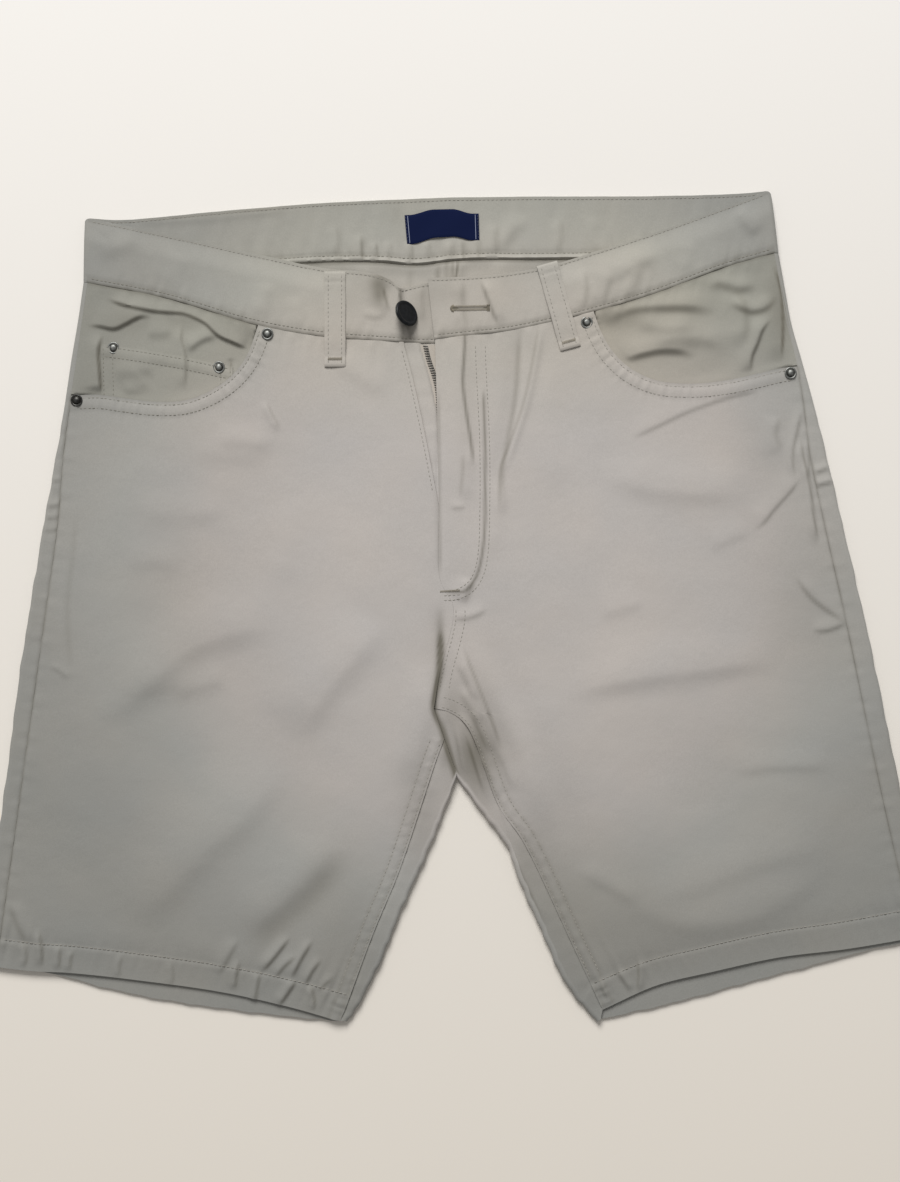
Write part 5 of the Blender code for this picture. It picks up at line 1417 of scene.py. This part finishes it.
def labelPoint(u, v):
    # u along the label and v down it, bilinear between its corners, with its middle pushed up
    # and lifting a little there
    corners = [np.array(label[k]) for k in ("topLeft", "topRight", "lowLeft", "lowRight")]
    u, v = np.broadcast_arrays(u, v)
    across, down = u[..., None], v[..., None]
    top = corners[0] * (1 - across) + corners[1] * across
    low = corners[2] * (1 - across) + corners[3] * across
    (riseStart, riseEnd), (fallStart, fallEnd) = label["rises"], label["falls"]
    pushed = ramp((u - riseStart) / (riseEnd - riseStart)) - ramp((u - fallStart) / (fallEnd - fallStart))
    plan = top + (low - top) * down + np.stack([0 * pushed, label["bow"] * pushed], -1)
    z = label["level"] + 0.55 * 4 * u * (1 - u) + 0.12 * np.sin(9 * u + 4 * v)
    return lifted(plan, z - 0.25 * (1 - ramp(np.minimum(v, 1 - v) / 0.06)))


def makeLabel():
    u = np.linspace(0, 1, label["columns"] + 1)[None, :]
    v = np.linspace(0, 1, label["rows"] + 1)[:, None]
    upper = labelPoint(u, v)
    piece = shell("labelWeave", upper, upper - (0, 0, 0.45), damask)
    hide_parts("label")
    strips = []
    for place in label["lines"]:
        u = np.linspace(place - label["lineHalf"], place + label["lineHalf"], 4)[None, :]
        v = np.linspace(0.04, 0.96, 25)[:, None]
        strips.append(labelPoint(u, v) + (0, 0, 0.07))
    return piece, strips


labelPiece, labelStrips = makeLabel()
labelLines = [shell(f"labelLine{k + 1}", strip, strip - (0, 0, 0.2), whiteThread)
              for k, strip in enumerate(labelStrips)]
print("loops and label made")


# ---- hardware

hardware = {
    # radius, height: turned rim, hollow, and a nipple in the middle
    "rivet": [(0, 0), (3.3, 0), (3.7, 0.1), (3.8, 0.3), (3.6, 0.5), (3.2, 0.56), (2.9, 0.45), (2.6, 0.34),
              (2.4, 0.4), (2.3, 0.7), (2.15, 1.0), (1.85, 1.3), (1.4, 1.5), (0.9, 1.62), (0.45, 1.68), (0, 1.7)],
    # radius and darkness: patina in the groove and at the rim's outer edge, and a painted dark reflection on the
    # dome's flank
    "patinaAndReflection": [(0, 0.0), (1.0, 0.0), (1.7, 0.5), (2.5, 0.8), (2.9, 0.4), (3.4, 0.1), (3.9, 0.3)],
    "cap": [(0, 3.5), (7.4, 3.5), (8.2, 3.8), (8.55, 4.3), (8.5, 4.9), (8.15, 5.3), (7.5, 5.55), (6.9, 5.5),
            (6.3, 5.25), (5.7, 5.12), (4.0, 5.2), (2.0, 5.3), (0, 5.32)],
    "shank": [(0, -3.4), (2.6, -3.4), (3.0, -3), (2.9, 0), (2.7, 1.2), (2.5, 2.2), (2.6, 2.9), (4.5, 3.2), (7.9, 3.3),
              (8.45, 3.5), (8.6, 3.9), (8.5, 4.15), (7.6, 4.1), (0, 4.1)],
    "buttonPlace": (-34.3, 183.5, 6.6), "buttonTilt": 45.0, "buttonLean": 23.0,
    # place, which cloth carries it
    "rivets": [(-119.3, 172.3, "right"), (-239.6, 130.4, "right"), (-216.6, 163.6, "coin"),
               (-150.2, 151.6, "coin"), (82.2, 179.6, "left"), (210.6, 147.6, "left")],
    "darkRivet": 2,
}


def rounded(profile):
    return smoothLine(profile, 4)


def placed(points, place, tilt=0.0, lean=0.0):
    # turned about Y by tilt, then about Z by lean, then moved
    a, b = math.radians(tilt), math.radians(lean)
    aboutY = np.array([[math.cos(a), 0, math.sin(a)], [0, 1, 0], [-math.sin(a), 0, math.cos(a)]])
    aboutZ = np.array([[math.cos(b), -math.sin(b), 0], [math.sin(b), math.cos(b), 0], [0, 0, 1]])
    return points @ (aboutZ @ aboutY).T + np.array(place)


rivetPieces = []
for number, (x, y, carrier) in enumerate(hardware["rivets"], 1):
    spot = np.array([[x, y]])
    ground = coinTop(spot)[0][0] if carrier == "coin" else frontZ(spot, carrier)[0]
    points, faces = lathe(rounded(hardware["rivet"]), 36)
    finish = darkNickel if number == hardware["darkRivet"] else nickel
    patinaAndReflection = np.array(hardware["patinaAndReflection"])
    paintedShadeAndPatina = np.interp(np.hypot(points[:, 0], points[:, 1]), patinaAndReflection[:, 0], patinaAndReflection[:, 1])
    piece = makeMesh(f"rivet{number}", placed(points, (x, y, ground - 0.1)), faces, finish, True, paintedShadeAndPatina)
    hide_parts(f"rivet_{number}")
    rivetPieces.append(piece)
turn = (hardware["buttonPlace"], hardware["buttonTilt"], hardware["buttonLean"])
points, faces = lathe(rounded(hardware["cap"]), 56)
buttonCap = makeMesh("buttonCap", placed(points, *turn), faces, enamel)
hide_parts("button")
points, faces = lathe(rounded(hardware["shank"]), 56)
buttonShank = makeMesh("buttonShank", placed(points, *turn), faces, nickel, True, np.full(len(points), 0.5))
print("hardware made")


# ---- stitching

stitch = {"pitch": 2.7, "length": 2.0, "radius": 0.22, "lift": 0.06, "sink": 0.24}


def stitchMesh(centres, runs, length, radius, sink):
    # each stitch is a five-ring capsule of six sides whose ends dip into the cloth
    step = np.array([-0.5, -0.36, 0.0, 0.36, 0.5])
    fat = np.array([0.35, 0.9, 1.0, 0.9, 0.35])
    dip = np.array([-1.0, -0.25, 0.0, -0.25, -1.0]) * sink
    angle = np.linspace(0, 2 * np.pi, 6, endpoint=False)
    runs = runs / np.linalg.norm(runs, axis=1, keepdims=True)
    side = np.cross(np.array([0, 0, 1.0]), runs)
    side /= np.linalg.norm(side, axis=1, keepdims=True)
    up = np.cross(runs, side)
    length = np.broadcast_to(length, len(centres))
    points = (centres[:, None, None] + runs[:, None, None] * (length[:, None] * step)[:, :, None, None]
              + side[:, None, None] * (fat[:, None] * np.cos(angle) * radius)[None, :, :, None]
              + up[:, None, None] * (fat[:, None] * np.sin(angle) * radius + dip[:, None])[None, :, :, None])
    ring = np.arange(30).reshape(5, 6)
    following = np.roll(ring, -1, 1)
    body = np.stack([ring[:-1], following[:-1], following[1:], ring[1:]], -1).reshape(-1, 4)
    caps = np.array([[0, 3, 2, 1], [0, 5, 4, 3], [24, 25, 26, 27], [24, 27, 28, 29]])
    one = np.vstack([body, caps])
    faces = (one[None] + (np.arange(len(centres)) * 30)[:, None, None]).reshape(-1, 4)
    return points.reshape(-1, 3), faces


def alongLine(line, pitch, length, seed):
    # centres and directions of a row of stitches along a line in space, slightly uneven
    total = runOf(line)[-1]
    count = max(int(total / pitch), 1)
    wander = 0.12 * np.sin(np.arange(count) * 2.3 + seed * 1.9)
    middle = (np.arange(count) + 0.5) * total / count + wander
    start, end = atRun(line, middle - length / 2), atRun(line, middle + length / 2)
    runs = end - start
    keep = np.linalg.norm(runs, axis=1) > 0.2
    return ((start + end) / 2)[keep], runs[keep]


class Thread:
    # gathers rows of stitches and makes them one piece

    def __init__(self, name, material):
        self.name, self.material = name, material
        self.centres, self.runs, self.lengths = [], [], []

    def row(self, line, seed=0.0, pitch=None, length=None):
        length = length or stitch["length"]
        centres, runs = alongLine(line + (0, 0, stitch["lift"]), pitch or stitch["pitch"], length, seed)
        self.centres.append(centres)
        self.runs.append(runs)
        self.lengths.append(np.full(len(centres), length))

    def bars(self, middles, directions, length):
        # separate short stitches, as in a bartack or a buttonhole
        middles = np.asarray(middles, float)
        self.centres.append(middles)
        self.runs.append(np.broadcast_to(np.asarray(directions, float), middles.shape))
        self.lengths.append(np.full(len(middles), length))

    def make(self, radius=None, sink=None):
        points, faces = stitchMesh(
            np.vstack(self.centres), np.vstack(self.runs), np.concatenate(self.lengths),
            radius or stitch["radius"], stitch["sink"] if sink is None else sink)
        return makeMesh(self.name, points, outwardFaces(points, faces), self.material)


def onFront(name, line, extra=0.0):
    return np.column_stack([line, frontZ(line, name) + extra])


def onGrid(grid, share):
    # the line at a share of the way across a grid of points
    place = share * (grid.shape[1] - 1)
    low = int(place)
    return grid[:, low] * (1 - place + low) + grid[:, min(low + 1, grid.shape[1] - 1)] * (place - low)


def cut(line, first, last):
    # the stretch of a line between two shares of its length
    return atFractions(line, np.linspace(first, last, max(int(runOf(line)[-1] / 2), 4)))


threads = []
for name in ("right", "left"):
    side = leg[name]["side"]
    sewn = Thread(f"stitches{name.capitalize()}", thread)
    # the right mouth's rows take the darkened thread, as painted shade
    mouthSewn = Thread(f"stitchesMouth{name.capitalize()}", bandThread if name == "right" else thread)
    mouth = smoothLine(leg[name]["mouth"])
    for offset in (seamLook["mouthFirst"], seamLook["mouthDepth"]):
        mouthSewn.row(onFront(name, cut(shifted(mouth, side * offset), 0.03, 0.985)), offset)
    threads.append(mouthSewn)
    inseam = lines[name]["inseam"]
    for offset in (seamLook["inseamFirst"], seamLook["inseamSecond"]):
        sewn.row(onFront(name, cut(shifted(inseam, side * offset), 0.02, 0.9)), offset + 1)
    hemLine = frontPlans[name][lines[name]["hemRow"] - rowCount["hip"]]
    sewn.row(onFront(name, cut(hemLine, 0.01, 0.99), 0.25), 3)
    threads.append(sewn)

bandSewn = Thread("stitchesBand", bandThread)
bandTopSewn = Thread("stitchesBandTop", thread)
for index, (plan, out, into, _) in enumerate(bandStretches):
    grid, sewnAt = (into, band["sewnInside"]) if index == 1 else (out, band["sewn"])
    bandSewn.row(cut(onGrid(grid, sewnAt / band["wide"]), 0.012, 0.99), index)
    bandTopSewn.row(cut(onGrid(grid, 1 - band["sewnTop"] / band["wide"]), 0.012, 0.99), index + 5)
threads.append(bandSewn)
threads.append(bandTopSewn)

flySewn = Thread("stitchesFly", thread)
jStitch = [(-9.5, 10.5), (-1.6, 10.8), (6.5, 15), (11, 22), (13.6, 34), (14.6, 56), (14.6, 104), (12.4, 150), (11.8, 168)]
for offset in (0.0, -6.2):
    flySewn.row(onFront("left", cut(shifted(smoothLine(jStitch), offset), 0.02, 0.985)), offset)
centreLine = smoothLine(centreFront[3:])
for offset in (1.8, 7.5):
    flySewn.row(onFront("left", cut(shifted(centreLine, offset), 0.05, 0.8)), offset)
flySewn.row(onFront("right", cut(shifted(smoothLine(leg["right"]["flyEdge"]), -2.2), 0.03, 0.9)), 2)
for y in (7.2, 4.2):
    flySewn.row(onFront("left", straight((-8.5, y), (2.5, y + 0.8), 8)), y)
threads.append(flySewn)

pocketSewn = Thread("stitchesCoin", bandThread)
coinEdge = smoothLine(facing["coinTop"])
for offset in (1.6, 7.6):
    row = cut(shifted(coinEdge[(coinEdge[:, 0] > -224) & (coinEdge[:, 0] < -142)], -offset), 0.01, 0.99)
    pocketSewn.row(np.column_stack([row, coinTop(row)[0]]), offset)
for x in (facing["coinRight"] - 1.6, facing["coinRight"] - 7.5, facing["coinLeft"] + 1.6, facing["coinLeft"] + 7.5):
    y = atX(facing["coinTop"], [x])[0, 1]
    row = straight((x, y - 2), (x, 128), 20)
    pocketSewn.row(np.column_stack([row, coinTop(row)[0]]), x)
threads.append(pocketSewn)

loopSewn = Thread("stitchesLoops", thread)
for name in ("right", "left"):
    start, run, sideways, length = loopFrames[name]
    share = np.linspace(0.03, 0.97, 40)[:, None]
    for across in (-4.2, 4.2):
        plan = start + share * length * run + across * sideways
        loopSewn.row(np.column_stack([plan, loopTop(share, np.full_like(share, across))]), across)
threads.append(loopSewn)

tacks = Thread("bartacks", tackThread)


def bartack(centre, run, length, width, surface, count=13):
    # close parallel bars across a short bar, each laid on the surface
    run = np.array(run, float) / math.hypot(*run)
    across = np.array([-run[1], run[0]])
    middle = np.array(centre) + np.linspace(-0.5, 0.5, count)[:, None] * length * run
    z = surface(middle) + 0.12
    lean = across + 0.18 * run
    tacks.bars(np.column_stack([middle, z]), (lean[0], lean[1], 0), width)


def loopSurface(name):
    start, run, sideways, length = loopFrames[name]
    return lambda xy: loopTop((xy - start) @ run / length, (xy - start) @ sideways)


for name in ("right", "left"):
    start, run, sideways, length = loopFrames[name]
    bartack(start + 0.92 * length * run, sideways, 8.5, 2.2, loopSurface(name), 16)
bartack((-4.2, 10.2), (1, 0.06), 12.0, 1.6, lambda xy: frontZ(xy, "left"), 20)
threads.append(tacks)

for sewn in threads:
    sewn.piece = sewn.make()
labelSewn = Thread("stitchesLabel", navyThread)
for place in (0.012, 0.988):
    v = np.linspace(0.04, 0.96, 20)
    labelSewn.row(labelPoint(np.full(20, place), v) + (0, 0, 0.02), place, 1.9, 1.4)
labelSewn.piece = labelSewn.make(0.2, 0.2)

# buttonhole: purl stitches across both lips of the slit, fanned round its keyhole end
buttonhole = {"start": (-1.6, 188.3), "end": (19.4, 188.7), "lip": 1.1, "count": 34, "length": 1.5}


def bandZ(xy):
    # height of the buttonhole end of the band, read from its own grid
    flat = bandStretches[2][1].reshape(-1, 3)
    near = ((flat[None, :, :2] - xy[:, None]) ** 2).sum(-1).argmin(1)
    return flat[near, 2]


holeSewn = Thread("buttonholeStitches", tackThread)
a, b = (np.array(buttonhole[k]) for k in ("start", "end"))
run = (b - a) / np.linalg.norm(b - a)
across = np.array([-run[1], run[0]])
spread = np.linspace(0, 1, buttonhole["count"])[:, None]
for lip in (-1, 1):
    middle = a + (b - a) * spread + across * lip * buttonhole["lip"]
    holeSewn.bars(np.column_stack([middle, bandZ(middle) + 0.15]), (across[0], across[1], 0), buttonhole["length"])
fan = np.radians(np.linspace(100, 260, 11))
for turnAngle in fan:
    way = run * math.cos(turnAngle) + across * math.sin(turnAngle)
    middle = (a + way * 1.7)[None]
    holeSewn.bars(np.column_stack([middle, bandZ(middle) + 0.15]), (way[0], way[1], 0), 1.8)
endBar = b + run * 0.6 + across * np.linspace(-1.8, 1.8, 7)[:, None]
holeSewn.bars(np.column_stack([endBar, bandZ(endBar) + 0.25]), (run[0], run[1], 0), 2.0)
holeSewn.piece = holeSewn.make(0.24, 0.1)
# the slit is a thin sheet of cloth darkened as painted shade of the opening, darkest at the keyhole and at the far
# end
slitLine = a + (b - a) * np.linspace(-0.06, 1.0, 32)[:, None]
slitRun = np.linspace(0, runOf(slitLine)[-1], 32)[:, None]
slitWidth = 0.5 + 0.9 * bell(slitRun - 1.4, 1.5)
slitPaintedShade = np.repeat(bell(slitRun - 1.2, 2.2) + 0.85 * bell(slitRun - slitRun[-1] + 0.8, 1.2) + 0.6, 3, 1)
slitPlan = np.stack([slitLine - across * slitWidth, slitLine, slitLine + across * slitWidth], 1)
slitZ = np.repeat(bandZ(slitLine)[:, None], 3, 1) + 0.06
slitShadeSheet = shell("buttonholeSlitShade", lifted(slitPlan, slitZ), lifted(slitPlan, slitZ - 0.5), twill, None, slitPaintedShade)
print("stitching made:", sum(len(c) for t in threads for c in t.centres), "stitches")

# ---- riding, and the sizes of the cut pieces

everyCloth = [*frontPieces.values(), *backPieces.values(), waistband, *facingPieces.values(), coinPocket,
              shield, *loopPieces.values()]
for piece in everyCloth + [sewn.piece for sewn in threads] + [holeSewn.piece, slitShadeSheet]:
    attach(piece, "root")
for piece in (zipRight, zipLeft):
    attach(piece, "root")
for piece in (labelPiece, labelSewn.piece, *labelLines):
    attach(piece, "root")
for piece in (*rivetPieces, buttonShank, teeth):
    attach(piece, "root")
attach(buttonCap, "root")


def clothSize(piece):
    # half of the closed surface, and how far the piece reaches across and along
    area = sum(face.area for face in piece.data.polygons) / 2
    across, along, _ = piece.dimensions
    return f"area {area:.5f} reach {across:.3f} {along:.3f} triangles {2 * len(piece.data.polygons)}"


# what shows of each cut piece, in metres: width, length, flat area where it isn't a rectangle,
# how it is held and what it lies on; the backs and the band are measured round their folds
cuts = {
    "frontRightCloth": (0.289, 0.440, 0.095, "laid", ["facingRight", "backRightCloth"]),
    "frontLeftCloth": (0.303, 0.441, 0.093, "laid", ["facingLeft", "flyShieldCloth", "backLeftCloth"]),
    "backRightCloth": (0.315, 0.485, 0.126, "folded", ["floor"]),
    "backLeftCloth": (0.325, 0.490, 0.119, "folded", ["floor"]),
    "waistbandCloth": (0.041, 0.900, None, "folded", ["floor", "frontRightCloth", "frontLeftCloth"]),
    "facingRight": (0.130, 0.096, 0.0098, "laid", ["backRightCloth"]),
    "facingLeft": (0.140, 0.102, 0.0103, "laid", ["backLeftCloth"]),
    "coinPocketCloth": (0.083, 0.057, 0.0041, "laid", ["facingRight"]),
    "flyShieldCloth": (0.039, 0.154, 0.0048, "laid", ["backRightCloth"]),
    "loopRightCloth": (0.0132, 0.060, None, "laid", ["waistbandCloth"]),
    "loopLeftCloth": (0.0132, 0.0555, None, "laid", ["waistbandCloth"]),
    "zipTapeRight": (0.010, 0.137, None, "laid", ["flyShieldCloth"]),
    "zipTapeLeft": (0.010, 0.137, None, "laid", ["flyShieldCloth"]),
    "labelWeave": (0.046, 0.0172, None, "laid", ["waistbandCloth"]),
}
for piece in everyCloth + [zipRight, zipLeft, labelPiece]:
    width, length, area, held, under = cuts[piece.name]
    print("cloth", piece.name, clothSize(piece))

# ---- floor, light, camera

scenePieces = {
    "floorSize": 6.0, "floorLevel": -0.0006,
    "cameraHeight": 1.0, "cameraX": -0.00413, "cameraY": 0.0102, "lens": 48.0, "sensor": 36.0,
    "keyPlace": (-0.55, 3.0, 2.45), "keySize": 2.0, "keyPower": 169.0,
    "worldColour": (1.0, 0.985, 0.96), "worldStrength": 0.32,
}
half = scenePieces["floorSize"] / 2 * 1000
level = scenePieces["floorLevel"] * 1000
floor = makeMesh("floor", [(-half, -half, level), (half, -half, level), (half, half, level), (-half, half, level)],
                 [[0, 1, 2, 3]], floorPaper, False)


def areaLight(name, place, size, power, colour, target=(0, 0, 0)):
    light = bpy.data.lights.new(name, "AREA")
    light.shape = "DISK"
    light.size, light.energy, light.color = size, power, colour
    lamp = bpy.data.objects.new(name, light)
    lamp.location = place
    toward = [t - p for t, p in zip(target, place)]
    flat = math.hypot(toward[0], toward[1])
    lamp.rotation_euler = (math.atan2(flat, -toward[2]), 0, math.atan2(toward[1], toward[0]) - math.pi / 2)
    bpy.context.scene.collection.objects.link(lamp)
    return lamp


areaLight("key", scenePieces["keyPlace"], scenePieces["keySize"], scenePieces["keyPower"], (1.0, 0.985, 0.96))
world = bpy.data.worlds.new("studio")
world.use_nodes = True
background = world.node_tree.nodes["Background"]
background.inputs["Color"].default_value = (*scenePieces["worldColour"], 1)
background.inputs["Strength"].default_value = scenePieces["worldStrength"]
bpy.context.scene.world = world
bpy.context.scene.view_settings.view_transform = "Standard"

camera = bpy.data.objects.new("camera", bpy.data.cameras.new("camera"))
camera.data.lens = scenePieces["lens"]
camera.data.sensor_width = scenePieces["sensor"]
camera.location = (scenePieces["cameraX"], scenePieces["cameraY"], scenePieces["cameraHeight"])
bpy.context.scene.collection.objects.link(camera)
bpy.context.scene.camera = camera
